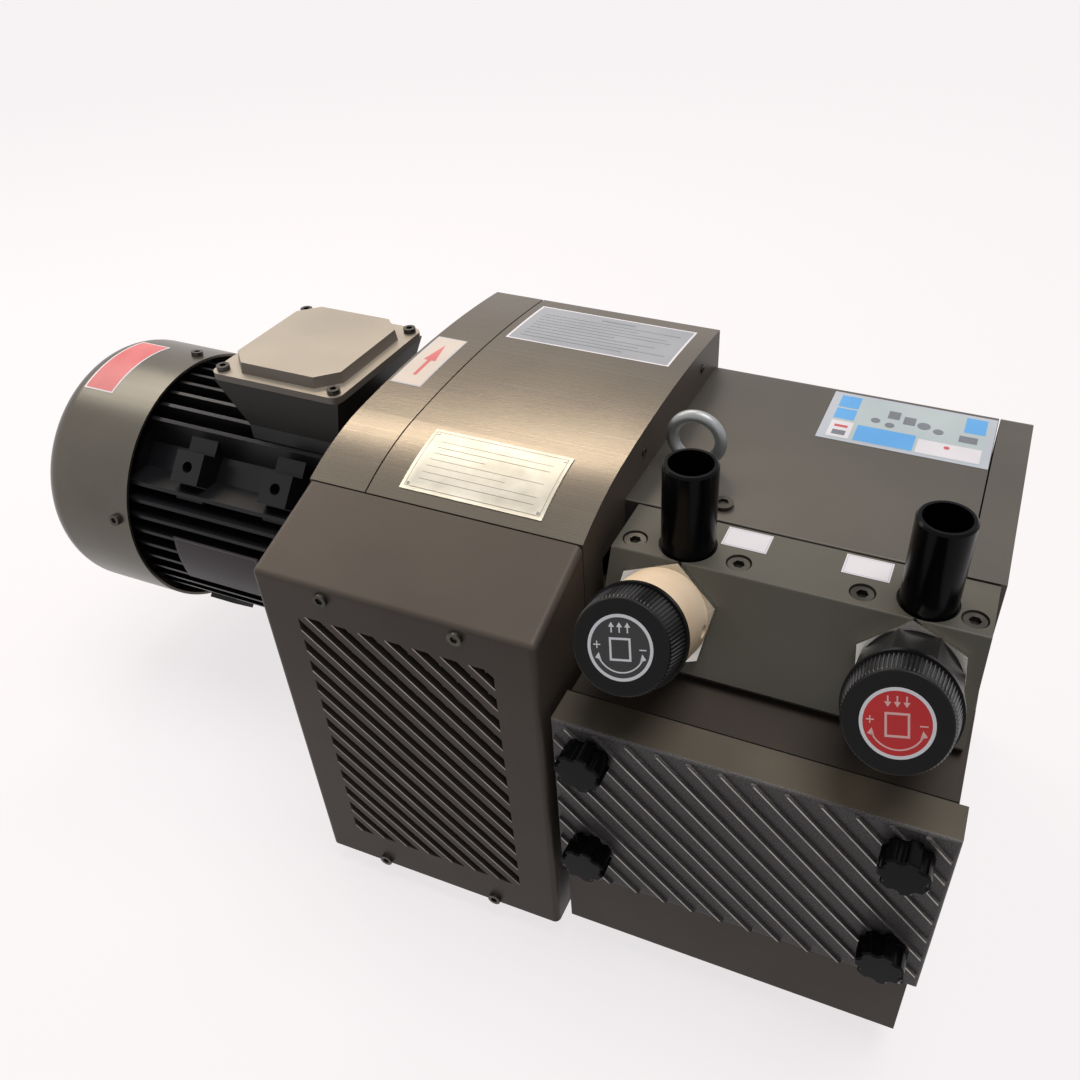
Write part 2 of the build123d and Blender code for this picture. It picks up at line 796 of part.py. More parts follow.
lid_plane = box_plane.offset(box_h)
with BuildPart() as terminal_lid:
    with BuildSketch(lid_plane):
        RectangleRounded(lid_w, lid_d, lid_corner_r)
    extrude(amount=lid_t)
    with BuildSketch(lid_plane.offset(lid_t)):
        Rectangle(plateau_w + 2.0, plateau_d + 2.0)
        chamfer(vertices(), length=plateau_chamfer)
    extrude(amount=plateau_t, taper=8.0)
    with BuildSketch(lid_plane):
        Rectangle(plateau_w - 10.0, plateau_d - 10.0)
        chamfer(vertices(), length=plateau_chamfer - 2.0)
    extrude(amount=lid_t + plateau_t - 3.0, mode=Mode.SUBTRACT)
    extrude(
        disc(lid_plane, lid_screw_r, spots=lid_screw_spots),
        amount=lid_t,
        mode=Mode.SUBTRACT,
    )
save(terminal_lid, "terminal_lid")

with BuildPart() as motor_screws:
    lid_screw_points = [(box_x + x, axis_y + y) for x, y in lid_screw_spots]
    add_cap_screws(
        Plane.XY.offset(box_top_z + lid_t),
        lid_screw_points,
        lid_screw_head_r,
        lid_screw_head_h,
        lid_screw_r,
        lid_t + 6.0,
    )
    for turn in cowl_screw_dirs:
        head_plane = cowl_screw_plane(turn, cowl_r)
        add_cap_screws(head_plane, [(0, 0)], hood_screw_head_r, 3.0, hood_screw_r, cowl_wall)
save(motor_screws, "motor_screws")

board_h = 10.0
with BuildPart() as terminal_board:
    with BuildSketch(box_plane.offset(box_wall)):
        Rectangle(46.0, 36.0)
    extrude(amount=board_h)
    with BuildSketch(box_plane.offset(box_wall + board_h)):
        with GridLocations(15.0, 18.0, 3, 2):
            Circle(2.5)
    extrude(amount=8.0)
save(terminal_board, "terminal_board")

with BuildPart() as cable_gland:
    gland_spot = [(box_x, gland_z)]
    with BuildSketch(facing_front(gland_wall_y)):
        with Locations(*gland_spot):
            RegularPolygon(radius=gland_r, side_count=6)
    extrude(amount=-5.0)
    extrude(disc(facing_front(gland_wall_y + 5.0), gland_r - 2.0, spots=gland_spot), amount=-gland_nut_length)
    chamfer(cable_gland.faces().sort_by(Axis.Y)[-1].edges(), length=3.0)
    extrude(
        disc(facing_front(gland_wall_y), gland_bore_r, spots=gland_spot),
        amount=-gland_nut_length - 5.0,
        mode=Mode.SUBTRACT,
    )
save(cable_gland, "cable_gland")

# Motor rotor: shaft, core with end rings, cooling fan and coupling hub
motor_fan_x1 = motor_fan_x0 + motor_fan_w
with BuildPart() as motor_shaft:
    revolve(
        turned(
            (motor_fan_x0 - 2.0, 0),
            (motor_fan_x0 - 2.0, motor_fan_seat_r),
            (far_bearing_x - 2.0, motor_fan_seat_r),
            (far_bearing_x - 2.0, bearing_seat_r),
            (far_bearing_x + bearing_w, bearing_seat_r),
            (far_bearing_x + bearing_w, bearing_seat_r + 2.0),
            (core_x0 - 9.0, bearing_seat_r + 2.0),
            (core_x0 - 9.0, core_shaft_r),
            (core_x1 + 9.0, core_shaft_r),
            (core_x1 + 9.0, bearing_seat_r + 2.0),
            (near_bearing_x, bearing_seat_r + 2.0),
            (near_bearing_x, bearing_seat_r),
            (near_bearing_x + bearing_w, bearing_seat_r),
            (near_bearing_x + bearing_w, motor_shaft_r),
            (coupling_x - 1.0, motor_shaft_r),
            (coupling_x - 1.0, 0),
        ),
        axis=shaft_axis,
    )
save(motor_shaft, "motor_shaft")

with BuildPart() as rotor_core:
    extrude(disc(across(core_x0), rotor_r, core_shaft_r), amount=core_length)
    for ring_x in (core_x0 - 8.0, core_x1):
        extrude(disc(across(ring_x), rotor_r - 2.0, rotor_r - 14.0), amount=8.0)
save(rotor_core, "rotor_core")

with BuildPart() as motor_fan:
    extrude(disc(across(motor_fan_x0), motor_fan_seat_r + 8.0, motor_fan_seat_r), amount=motor_fan_w)
    back_plate = disc(across(motor_fan_x1), motor_fan_r, motor_fan_seat_r + 4.0)
    extrude(back_plate, amount=-blade_t)
    with BuildSketch(across(motor_fan_x0)):
        with PolarLocations((motor_fan_r + motor_fan_seat_r + 6.0) / 2, 7):
            Rectangle(motor_fan_r - motor_fan_seat_r - 6.0, blade_t)
        Circle(motor_fan_r, mode=Mode.INTERSECT)
    extrude(amount=motor_fan_w - blade_t)
save(motor_fan, "motor_fan")


def add_jaws(start_angle):
    """Three coupling jaws between the legs of the elastic star."""
    reach = 2 * coupling_r
    spread = reach * math.tan(math.radians(jaw_half_angle))
    with BuildSketch(across(coupling_x)) as jaws:
        with PolarLocations(0, 3, start_angle=start_angle):
            Polygon((0, 0), (reach, -spread), (reach, spread), align=None)
        Circle(coupling_r, mode=Mode.INTERSECT)
        Circle(spider_core_r + seat_gap, mode=Mode.SUBTRACT)
    extrude(jaws.sketch, amount=jaw_length)


with BuildPart() as motor_coupling_hub:
    hub_x0 = coupling_x - coupling_hub_length
    extrude(disc(across(hub_x0), coupling_r, motor_shaft_r), amount=coupling_hub_length)
    add_jaws(0.0)
save(motor_coupling_hub, "motor_coupling_hub")

with BuildPart() as coupling_star:
    with BuildSketch(across(coupling_x + seat_gap)):
        Circle(spider_core_r)
        with PolarLocations((spider_core_r + coupling_r) / 2, 6, start_angle=30.0):
            Rectangle(coupling_r - spider_core_r, spider_leg_w)
    extrude(amount=jaw_length - seat_gap)
save(coupling_star, "coupling_star")

# Pump rotor: shaft, coupling hub with the cooling fan on it, slotted rotor and vanes
pump_hub_x = coupling_x + jaw_length
fan_x0 = pump_hub_x + coupling_hub_length
fan_x1 = fan_x0 + cooling_fan_w
drive_bearing_x = house_x1 - casting_wall
far_cover_x1 = cylinder_x1 + far_cover_t
with BuildPart() as pump_coupling_hub:
    extrude(disc(across(pump_hub_x), coupling_r, bearing_seat_r), amount=coupling_hub_length)
    add_jaws(60.0)
save(pump_coupling_hub, "pump_coupling_hub")

with BuildPart() as cooling_fan:
    extrude(disc(across(fan_x0), cooling_fan_hub_r, bearing_seat_r), amount=cooling_fan_w)
    extrude(disc(across(fan_x1), cooling_fan_r, bearing_seat_r), amount=-blade_t)
    with BuildSketch(across(fan_x0)):
        with PolarLocations(0, cooling_fan_blades):
            with BuildLine():
                inner = ThreePointArc(
                    (cooling_fan_hub_r - 2.0, 0),
                    (0.62 * cooling_fan_r, 10.0),
                    (0.9 * cooling_fan_r, 26.0),
                )
                outer = ThreePointArc(
                    (cooling_fan_hub_r - 2.0, -blade_t),
                    (0.62 * cooling_fan_r, 10.0 - blade_t),
                    (0.9 * cooling_fan_r + 1.0, 26.0 - blade_t),
                )
                Line(inner @ 0, outer @ 0)
                Line(inner @ 1, outer @ 1)
            make_face()
    extrude(amount=cooling_fan_w - blade_t)
save(cooling_fan, "cooling_fan")

with BuildPart() as pump_shaft:
    revolve(
        turned(
            (pump_hub_x + 1.0, 0),
            (pump_hub_x + 1.0, bearing_seat_r),
            (cylinder_x0 - 2.0, bearing_seat_r),
            (cylinder_x0 - 2.0, bearing_seat_r + 1.0),
            (cylinder_x0 + end_play, pump_shaft_r),
            (cylinder_x1 - end_play, pump_shaft_r),
            (cylinder_x1 + 2.0, bearing_seat_r + 1.0),
            (cylinder_x1 + 2.0, bearing_seat_r),
            (far_cover_x1 - 1.0, bearing_seat_r),
            (far_cover_x1 - 1.0, 0),
        ),
        axis=shaft_axis,
    )
save(pump_shaft, "pump_shaft")

slot_mid_r = vane_rotor_r - vane_h / 2
with BuildPart() as vane_rotor:
    with BuildSketch(across(cylinder_x0 + end_play)):
        Circle(vane_rotor_r)
        Circle(pump_shaft_r, mode=Mode.SUBTRACT)
        with PolarLocations(slot_mid_r, vane_count):
            Rectangle(vane_h + 2 * seat_gap, vane_t, mode=Mode.SUBTRACT)
    extrude(amount=cylinder_length - 2 * end_play)
save(vane_rotor, "vane_rotor")

with BuildPart() as vanes:
    with BuildSketch(across(cylinder_x0 + end_play)):
        with PolarLocations(slot_mid_r, vane_count):
            Rectangle(vane_h, vane_t - 2 * running_gap)
        Circle(vane_rotor_r, mode=Mode.INTERSECT)
    extrude(amount=cylinder_length - 2 * end_play)
save(vanes, "vanes")

# Vane pump: end covers, cylinder with its bore set below the shaft, bearings and seal
shaft_clear_r = pump_shaft_r + seat_gap
drive_bearing_x1 = drive_bearing_x + bearing_w
with BuildPart() as drive_cover:
    revolve(
        turned(
            (drive_bearing_x, bearing_r),
            (drive_bearing_x, drive_spigot_r - running_gap),
            (house_x1, drive_spigot_r - running_gap),
            (house_x1, end_flange_r),
            (cylinder_x0, end_flange_r),
            (cylinder_x0, shaft_clear_r),
            (drive_bearing_x1 + seal_w, shaft_clear_r),
            (drive_bearing_x1 + seal_w, seal_r),
            (drive_bearing_x1, seal_r),
            (drive_bearing_x1, bearing_r),
        ),
        axis=shaft_axis,
    )
    extrude(
        disc(across(house_x1), cover_bolt_r, spots=cover_bolt_spots),
        amount=drive_cover_t,
        mode=Mode.SUBTRACT,
    )
save(drive_cover, "drive_cover")

far_bearing_seat_x = far_cover_x1 - bearing_w
bolt_face_x = cylinder_x1 + end_flange_t
cap_bolt_spots = around(bearing_r + 8.0, 4, 45.0)
with BuildPart() as far_cover:
    revolve(
        turned(
            (cylinder_x1, shaft_clear_r),
            (far_bearing_seat_x, shaft_clear_r),
            (far_bearing_seat_x, bearing_r),
            (far_cover_x1, bearing_r),
            (far_cover_x1, bearing_r + 28.0),
            (bolt_face_x, bearing_r + 38.0),
            (bolt_face_x, end_flange_r),
            (cylinder_x1, end_flange_r),
        ),
        axis=shaft_axis,
    )
    extrude(
        disc(across(cylinder_x1), cover_bolt_r, spots=cover_bolt_spots),
        amount=end_flange_t,
        mode=Mode.SUBTRACT,
    )
    extrude(
        disc(across(far_cover_x1), hood_screw_r, spots=cap_bolt_spots),
        amount=-bolt_head_h,
        mode=Mode.SUBTRACT,
    )
save(far_cover, "far_cover")

with BuildPart() as bearing_cap:
    extrude(disc(across(far_cover_x1), bearing_r + 14.0), amount=cap_t)
    fillet(bearing_cap.faces().sort_by(Axis.X)[-1].edges(), radius=1.5)
    extrude(
        disc(across(far_cover_x1), hood_screw_r, spots=cap_bolt_spots),
        amount=cap_t,
        mode=Mode.SUBTRACT,
    )
save(bearing_cap, "bearing_cap")

with BuildPart() as ball_bearings:
    for bearing_x in (far_bearing_x, near_bearing_x, drive_bearing_x, far_bearing_seat_x):
        revolve(bearing_section(bearing_x), axis=shaft_axis)
save(ball_bearings, "ball_bearings")

with BuildPart() as shaft_seal:
    extrude(disc(across(drive_bearing_x1), seal_r, bearing_bore_r), amount=seal_w)
save(shaft_seal, "shaft_seal")

cylinder_mid_x = (cylinder_x0 + cylinder_x1) / 2
port_xs = (cylinder_mid_x - port_w / 3, cylinder_mid_x + port_w / 3)
with BuildPart() as pump_cylinder:
    with BuildSketch(across(cylinder_x0)):
        with Locations((0, -bore_drop)):
            Circle(cylinder_r)
            with PolarLocations((cylinder_r + cylinder_rib_r) / 2 - 2.0, rib_count):
                Rectangle(cylinder_rib_r - cylinder_r + 4.0, rib_t)
    extrude(amount=cylinder_length)
    extrude(disc(across(cylinder_x0), end_flange_r), amount=end_flange_t)
    extrude(disc(across(cylinder_x1), end_flange_r), amount=-end_flange_t)
    with BuildSketch(facing_front(filter_back_y)):
        with Locations((cylinder_mid_x, port_z)):
            Rectangle(port_flange_w, port_flange_h)
    extrude(amount=filter_back_y - (axis_y - cylinder_r + 2 * port_h))
    with BuildSketch(Plane.XY.offset(base_z)):
        with Locations((cylinder_x1 - leg_w / 2, foot_y)):
            Rectangle(leg_w, leg_w)
    extrude(amount=axis_z - bore_drop - base_z)
    with BuildSketch(Plane.XY.offset(axis_z)):
        with Locations((eye_x, eye_y)):
            Rectangle(eye_post_w, eye_post_w)
    extrude(amount=hood_top_z - cover_wall - axis_z)
    extrude(
        disc(across(cylinder_x0), bore_r, spots=[(0, -bore_drop)]),
        amount=cylinder_length,
        mode=Mode.SUBTRACT,
    )
    for cover_face, reach in ((across(cylinder_x0), 1), (across(cylinder_x1), -1)):
        extrude(
            disc(cover_face, cover_bolt_r, spots=cover_bolt_spots),
            amount=reach * cover_bolt_reach,
            mode=Mode.SUBTRACT,
        )
    with BuildSketch(facing_front(filter_back_y)):
        with Locations(*[(x, port_z) for x in port_xs]):
            Rectangle(port_w / 2, port_h)
    extrude(amount=-2 * port_h, mode=Mode.SUBTRACT)
    extrude(
        disc(Plane.XY.offset(hood_top_z), eye_stem_r, spots=[(eye_x, eye_y)]),
        amount=-eye_stem_length,
        mode=Mode.SUBTRACT,
    )
save(pump_cylinder, "pump_cylinder")


def facing_motor(x):
    """Plane across the shaft at x that faces the motor: local X is +Y and local Y is -Z."""
    return Plane(origin=(x, axis_y, axis_z), x_dir=(0, 1, 0), z_dir=(-1, 0, 0))


with BuildPart() as housing_bolts:
    bolt_head_r = 1.8 * cover_bolt_r
    add_hex_bolts(
        across(house_x0 + casting_wall),
        flange_bolt_spots,
        bolt_head_r,
        bolt_head_h,
        flange_bolt_r,
        casting_wall + bolt_head_h,
    )
    add_hex_bolts(
        facing_motor(house_x1 - casting_wall),
        cover_bolt_spots,
        bolt_head_r,
        bolt_head_h,
        cover_bolt_r,
        casting_wall + drive_cover_t + cover_bolt_reach,
    )
    add_hex_bolts(
        across(bolt_face_x),
        cover_bolt_spots,
        bolt_head_r,
        bolt_head_h,
        cover_bolt_r,
        end_flange_t + cover_bolt_reach,
    )
    add_hex_bolts(
        across(far_cover_x1 + cap_t),
        cap_bolt_spots,
        1.8 * hood_screw_r,
        3.0,
        hood_screw_r,
        cap_t + bolt_head_h,
    )
save(housing_bolts, "housing_bolts")

# Pump hood: a folded sheet over the top and back, and a dished end with air outlets
with BuildPart() as top_cover:
    lip_back_y = top_lip_y + cover_wall
    sheet_back_y = back_y - cover_wall
    sheet_z = hood_top_z - cover_wall
    sheet = outline(
        Plane.YZ.offset(house_x1),
        (top_lip_y, hood_top_z),
        (back_y, hood_top_z),
        (back_y, lower_bottom_z),
        (sheet_back_y, lower_bottom_z),
        (sheet_back_y, sheet_z),
        (lip_back_y, sheet_z),
        (lip_back_y, hood_top_z - top_lip_h),
        (top_lip_y, hood_top_z - top_lip_h),
    )
    extrude(sheet, amount=end_hood_x0 - seam_gap - house_x1)
    top_edges = top_cover.edges().filter_by(Axis.X).group_by(Axis.Z)[-1].sort_by(Axis.Y)
    fillet(top_edges[-1], radius=top_corner_r)
    fillet(top_cover.edges().filter_by(Axis.X).group_by(Axis.Y)[0].sort_by(Axis.Z)[-1], radius=1.0)
    extrude(
        disc(Plane.XY.offset(hood_top_z), eye_stem_r, spots=[(eye_x, eye_y)]),
        amount=-cover_wall,
        mode=Mode.SUBTRACT,
    )
    top_screw_spots = [(x, top_screw_y) for x in top_screw_xs]
    extrude(
        disc(Plane.XY.offset(hood_top_z), block_screw_r, spots=top_screw_spots),
        amount=-cover_wall,
        mode=Mode.SUBTRACT,
    )
save(top_cover, "top_cover")

with BuildPart() as end_hood:
    step_y = filter_back_y + seam_gap
    step_z = block_bottom_z - seam_gap
    rim = outline(
        Plane.YZ.offset(end_hood_x0),
        (step_y, lower_bottom_z),
        (back_y, lower_bottom_z),
        (back_y, hood_top_z),
        (top_lip_y, hood_top_z),
        (top_lip_y, step_z),
        (step_y, step_z),
    )
    extrude(rim, amount=pump_x1 - end_hood_x0)
    offset(amount=-cover_wall, openings=end_hood.faces().sort_by(Axis.X)[0])
    back_top = end_hood.edges().filter_by(Axis.X).group_by(Axis.Z)[-1].sort_by(Axis.Y)[-1]
    fillet(back_top, radius=top_corner_r)
    with BuildSketch(Plane.YZ.offset(pump_x1)):
        with Locations((axis_y, axis_z - top_corner_r)):
            with GridLocations(0, louvre_pitch, 1, louvre_count):
                Rectangle(louvre_w, louvre_h)
    extrude(amount=-cover_wall, mode=Mode.SUBTRACT)
    post_reach = pump_x1 - cover_wall - bolt_face_x
    extrude(disc(across(bolt_face_x), hood_post_r, spots=hood_post_spots), amount=post_reach)
save(end_hood, "end_hood")

# Lifting eye on the cylinder's post
with BuildPart() as eye_bolt:
    eye_spot = [(eye_x, eye_y)]
    extrude(disc(Plane.XY.offset(hood_top_z), eye_collar_r, spots=eye_spot), amount=eye_collar_t)
    extrude(disc(Plane.XY.offset(hood_top_z), eye_stem_r, spots=eye_spot), amount=-eye_stem_length)
    eye_wire_r = (eye_outer_r - eye_inner_r) / 2
    eye_mid_z = hood_top_z + eye_outer_r
    with BuildSketch(Plane(origin=(eye_x, eye_y, eye_mid_z), x_dir=(0, 1, 0), z_dir=(1, 0, 0))):
        with Locations((0, eye_inner_r + eye_wire_r)):
            Circle(eye_wire_r)
    revolve(axis=Axis((eye_x, eye_y, eye_mid_z), (0, 1, 0)))
save(eye_bolt, "eye_bolt")

# Filter housing: two chambers open to the front, closed by the ribbed cover
chamber_mid_z = (lower_top_z + filter_top_z) / 2
chamber_mid_x = (filter_x0 + pump_x1) / 2
chamber_shift = (chamber_w + casting_wall) / 2
chamber_spots = [(chamber_mid_x + side * chamber_shift, chamber_mid_z) for side in (-1, 1)]
chamber_floor_y = filter_back_y - casting_wall
hollow_w = pump_x1 - filter_x0 - 2 * casting_wall
hollow_y0 = lower_front_y + casting_wall
with BuildPart() as filter_housing:
    section = outline(
        Plane.YZ.offset(filter_x0),
        (lower_front_y, lower_bottom_z),
        (lower_front_y, lower_top_z),
        (filter_front_y, lower_top_z),
        (filter_front_y, filter_top_z),
        (filter_back_y, filter_top_z),
        (filter_back_y, lower_bottom_z),
    )
    extrude(section, amount=pump_x1 - filter_x0)
    with BuildSketch(facing_front(filter_front_y)):
        with Locations(*chamber_spots):
            RectangleRounded(chamber_w, chamber_h, chamber_corner_r)
    extrude(amount=-(chamber_floor_y - filter_front_y), mode=Mode.SUBTRACT)
    with BuildSketch(Plane.XY.offset(lower_bottom_z)):
        with Locations((chamber_mid_x, (hollow_y0 + chamber_floor_y) / 2)):
            Rectangle(hollow_w, chamber_floor_y - hollow_y0)
    extrude(amount=lower_top_z - casting_wall - lower_bottom_z, mode=Mode.SUBTRACT)
    extrude(disc(Plane.XY.offset(base_z), foot_r + 2.0, spots=[(foot_x, -foot_y)]), amount=lower_top_z - base_z)
    extrude(disc(facing_front(filter_back_y), post_r, spots=grip_spots), amount=filter_back_y - filter_front_y)
    extrude(
        disc(facing_front(filter_front_y), stud_r + seat_gap, spots=grip_spots),
        amount=-stud_reach - 2.0,
        mode=Mode.SUBTRACT,
    )
    with BuildSketch(facing_front(filter_back_y)):
        with Locations(*[(x, port_z) for x in port_xs]):
            Rectangle(port_w / 2, port_h)
    extrude(amount=casting_wall, mode=Mode.SUBTRACT)
save(filter_housing, "filter_housing")

cartridge_y0 = cover_front_y + cover_t + seat_gap
with BuildPart() as filter_cartridges:
    with BuildSketch(facing_front(chamber_floor_y)):
        for chamber_x, chamber_z in chamber_spots:
            with Locations((chamber_x, chamber_z)):
                Circle(cartridge_r - 4.0)
                with PolarLocations(cartridge_r - 4.0, cartridge_pleats):
                    Rectangle(8.0, 3.0)
                Circle(cartridge_inner_r, mode=Mode.SUBTRACT)
    extrude(amount=chamber_floor_y - cartridge_y0)
save(filter_cartridges, "filter_cartridges")

cover_mid_x = (cover_x0 + cover_x1) / 2
cover_w = cover_x1 - cover_x0
cover_h = filter_top_z - cover_z0
cover_mid_z = (cover_z0 + filter_top_z) / 2
cover_back_y = filter_front_y - gasket_t
with BuildPart() as filter_cover:
    with BuildSketch(facing_front(cover_back_y)):
        with Locations((cover_mid_x, cover_mid_z)):
            Rectangle(cover_w, cover_h)
    extrude(amount=cover_back_y - cover_front_y)
    fillet(filter_cover.faces().sort_by(Axis.Y)[0].edges(), radius=cover_edge_r)
    with BuildSketch(facing_front(cover_back_y)):
        with Locations((cover_mid_x, cover_mid_z)):
            Rectangle(cover_w - 2 * casting_wall - 2 * cover_t, cover_h - 2 * casting_wall)
    extrude(amount=cover_back_y - cover_front_y - cover_t, mode=Mode.SUBTRACT)
    extrude(disc(facing_front(cover_back_y), post_r, spots=grip_spots), amount=cover_back_y - cover_front_y)
    with BuildSketch(facing_front(cover_front_y)) as ribs:
        with Locations(Location((cover_mid_x, cover_mid_z, 0), (0, 0, cover_rib_angle))):
            with GridLocations(0, cover_rib_pitch, 1, cover_rib_count):
                Rectangle(2 * cover_w, cover_rib_w)
        with Locations((cover_mid_x, cover_mid_z)):
            Rectangle(cover_w - 2 * cover_edge_r, cover_h - 2 * cover_edge_r, mode=Mode.INTERSECT)
        with Locations(*grip_spots):
            Circle(grip_boss_r)
    extrude(ribs.sketch, amount=cover_rib_h)
    extrude(
        disc(facing_front(cover_back_y), stud_r + running_gap, spots=grip_spots),
        amount=cover_back_y - cover_front_y + cover_rib_h,
        mode=Mode.SUBTRACT,
    )
save(filter_cover, "filter_cover")

with BuildPart() as cover_gasket:
    with BuildSketch(facing_front(filter_front_y)):
        with Locations((chamber_mid_x, chamber_mid_z)):
            Rectangle(pump_x1 - filter_x0, filter_top_z - cover_z0 - 1.0)
        with Locations(*chamber_spots):
            RectangleRounded(chamber_w, chamber_h, chamber_corner_r, mode=Mode.SUBTRACT)
        with Locations(*grip_spots):
            Circle(stud_r + seat_gap, mode=Mode.SUBTRACT)
    extrude(amount=gasket_t)
save(cover_gasket, "cover_gasket")

# Star grips with their studs, one node each
grip_face_y = cover_front_y - cover_rib_h
for number, spot in enumerate(grip_spots, start=1):
    with BuildPart() as star_grip:
        with BuildSketch(facing_front(grip_face_y)):
            with Locations(spot):
                Circle(grip_r)
                with PolarLocations(grip_r + 1.0, grip_lobes):
                    Circle(0.24 * grip_r, mode=Mode.SUBTRACT)
        extrude(amount=grip_h)
        chamfer(star_grip.faces().sort_by(Axis.Y)[0].edges(), length=1.0)
        extrude(
            disc(facing_front(grip_face_y), stud_r, spots=[spot]),
            amount=-(filter_front_y + stud_reach - grip_face_y),
        )
    save(star_grip, f"star_grip_{number}")

# Regulator block with its slanted face, on top of the filter housing
with BuildPart() as regulator_block:
    section = outline(
        Plane.YZ.offset(block_x0),
        (block_nose_y, block_top_z),
        (block_rear_y, block_top_z),
        (block_rear_y, block_heel_z),
        (block_heel_y, block_bottom_z),
        (block_toe_y + block_undercut, block_bottom_z),
        (block_toe_y, block_toe_z),
    )
    extrude(section, amount=block_x1 - block_x0)
    nose = regulator_block.edges().filter_by(Axis.X).group_by(Axis.Z)[-1].sort_by(Axis.Y)[0]
    fillet(nose, radius=1.5)
    block_top = Plane.XY.offset(block_top_z)
    block_h = block_top_z - block_bottom_z
    nozzle_spots = [(blow_nozzle_x, nozzle_y), (suction_nozzle_x, nozzle_y)]
    for radius, depth in (
        (nozzle_recess_r, nozzle_recess_depth),
        (nozzle_r, nozzle_thread_depth),
        (block_passage_r, block_h),
    ):
        extrude(disc(block_top, radius, spots=nozzle_spots), amount=-depth, mode=Mode.SUBTRACT)
    for valve_x in (blow_valve_x, suction_valve_x):
        valve_face = on_valve(valve_x, 0)
        extrude(disc(valve_face, valve_spigot_r), amount=-valve_spigot_length, mode=Mode.SUBTRACT)
        extrude(disc(valve_face, valve_seat_bore_r), amount=-2 * valve_spigot_r, mode=Mode.SUBTRACT)
    block_screw_spots = [(x, block_screw_y) for x in block_screw_xs]
    extrude(
        disc(block_top, block_screw_head_r + 1.0, spots=block_screw_spots),
        amount=-block_screw_recess,
        mode=Mode.SUBTRACT,
    )
    extrude(
        disc(block_top, block_screw_r, spots=block_screw_spots),
        amount=-2 * block_screw_recess,
        mode=Mode.SUBTRACT,
    )
save(regulator_block, "regulator_block")

with BuildPart() as pump_screws:
    add_cap_screws(
        block_top.offset(-block_screw_recess),
        block_screw_spots,
        block_screw_head_r,
        block_screw_head_h,
        block_screw_r,
        block_screw_recess,
    )
    add_cap_screws(
        Plane.XY.offset(hood_top_z),
        top_screw_spots,
        block_screw_head_r,
        0.5 * block_screw_head_h,
        block_screw_r,
        cover_wall,
    )
save(pump_screws, "pump_screws")

with BuildPart() as hose_nozzles:
    nozzle_floor = block_top.offset(-nozzle_recess_depth)
    extrude(disc(nozzle_floor, nozzle_flange_r, spots=nozzle_spots), amount=nozzle_flange_t)
    nozzle_foot = block_top.offset(-nozzle_thread_depth)
    extrude(disc(nozzle_foot, nozzle_r, spots=nozzle_spots), amount=nozzle_top_z - block_top_z + nozzle_thread_depth)
    chamfer(hose_nozzles.faces().group_by(Axis.Z)[-1].edges(), length=1.2)
    extrude(
        disc(nozzle_foot, nozzle_bore_r, spots=nozzle_spots),
        amount=nozzle_top_z - block_top_z + nozzle_thread_depth,
        mode=Mode.SUBTRACT,
    )
save(hose_nozzles, "hose_nozzles")

# Regulating valves: body, sleeve, poppet with its spring, spring plate and screwed knob
end_wall = valve_tube_wall_end
with BuildPart() as valve_bodies:
    for valve_x, hex_turn in ((blow_valve_x, blow_hex_turn), (suction_valve_x, suction_hex_turn)):
        with BuildSketch(on_valve(valve_x, 0)) as hexagon:
            RegularPolygon(radius=valve_hex_af / 2, side_count=6, major_radius=False, rotation=hex_turn)
        extrude(hexagon.sketch, amount=valve_hex_t)
        extrude(disc(on_valve(valve_x, 0), valve_spigot_r), amount=-valve_spigot_length)
        extrude(disc(on_valve(valve_x, 0), valve_tube_r), amount=valve_tube_end)
        extrude(
            disc(on_valve(valve_x, 0), spring_bore_r),
            amount=valve_tube_end - end_wall,
            mode=Mode.SUBTRACT,
        )
        extrude(
            disc(on_valve(valve_x, 0), valve_seat_bore_r),
            amount=-valve_spigot_length,
            mode=Mode.SUBTRACT,
        )
        extrude(
            disc(on_valve(valve_x, 0), stem_r + running_gap),
            amount=valve_tube_end,
            mode=Mode.SUBTRACT,
        )
save(valve_bodies, "valve_bodies")

with BuildPart() as blow_valve_sleeve:
    extrude(disc(on_valve(blow_valve_x, valve_hex_t), sleeve_r, valve_tube_r), amount=sleeve_end - valve_hex_t)
    fillet(blow_valve_sleeve.edges().filter_by(GeomType.CIRCLE).sort_by(SortBy.RADIUS)[-2:], radius=1.0)
    port = on_valve(blow_valve_x + sleeve_r, valve_hex_t + 2 * sleeve_port_r)
    side = Plane(origin=port.origin, x_dir=port.y_dir, z_dir=(1, 0, 0))
    extrude(disc(side, sleeve_port_r), amount=-sleeve_r, mode=Mode.SUBTRACT)
save(blow_valve_sleeve, "blow_valve_sleeve")

with BuildPart() as suction_valve_sleeve:
    with BuildSketch(on_valve(suction_valve_x, valve_hex_t)):
        RegularPolygon(radius=sleeve_af / 2, side_count=8, major_radius=False, rotation=22.5)
        Circle(valve_tube_r, mode=Mode.SUBTRACT)
    extrude(amount=sleeve_end - valve_hex_t)
    for band_s in (valve_hex_t, sleeve_end - sleeve_band):
        extrude(disc(on_valve(suction_valve_x, band_s), sleeve_r, valve_tube_r), amount=sleeve_band)
save(suction_valve_sleeve, "suction_valve_sleeve")

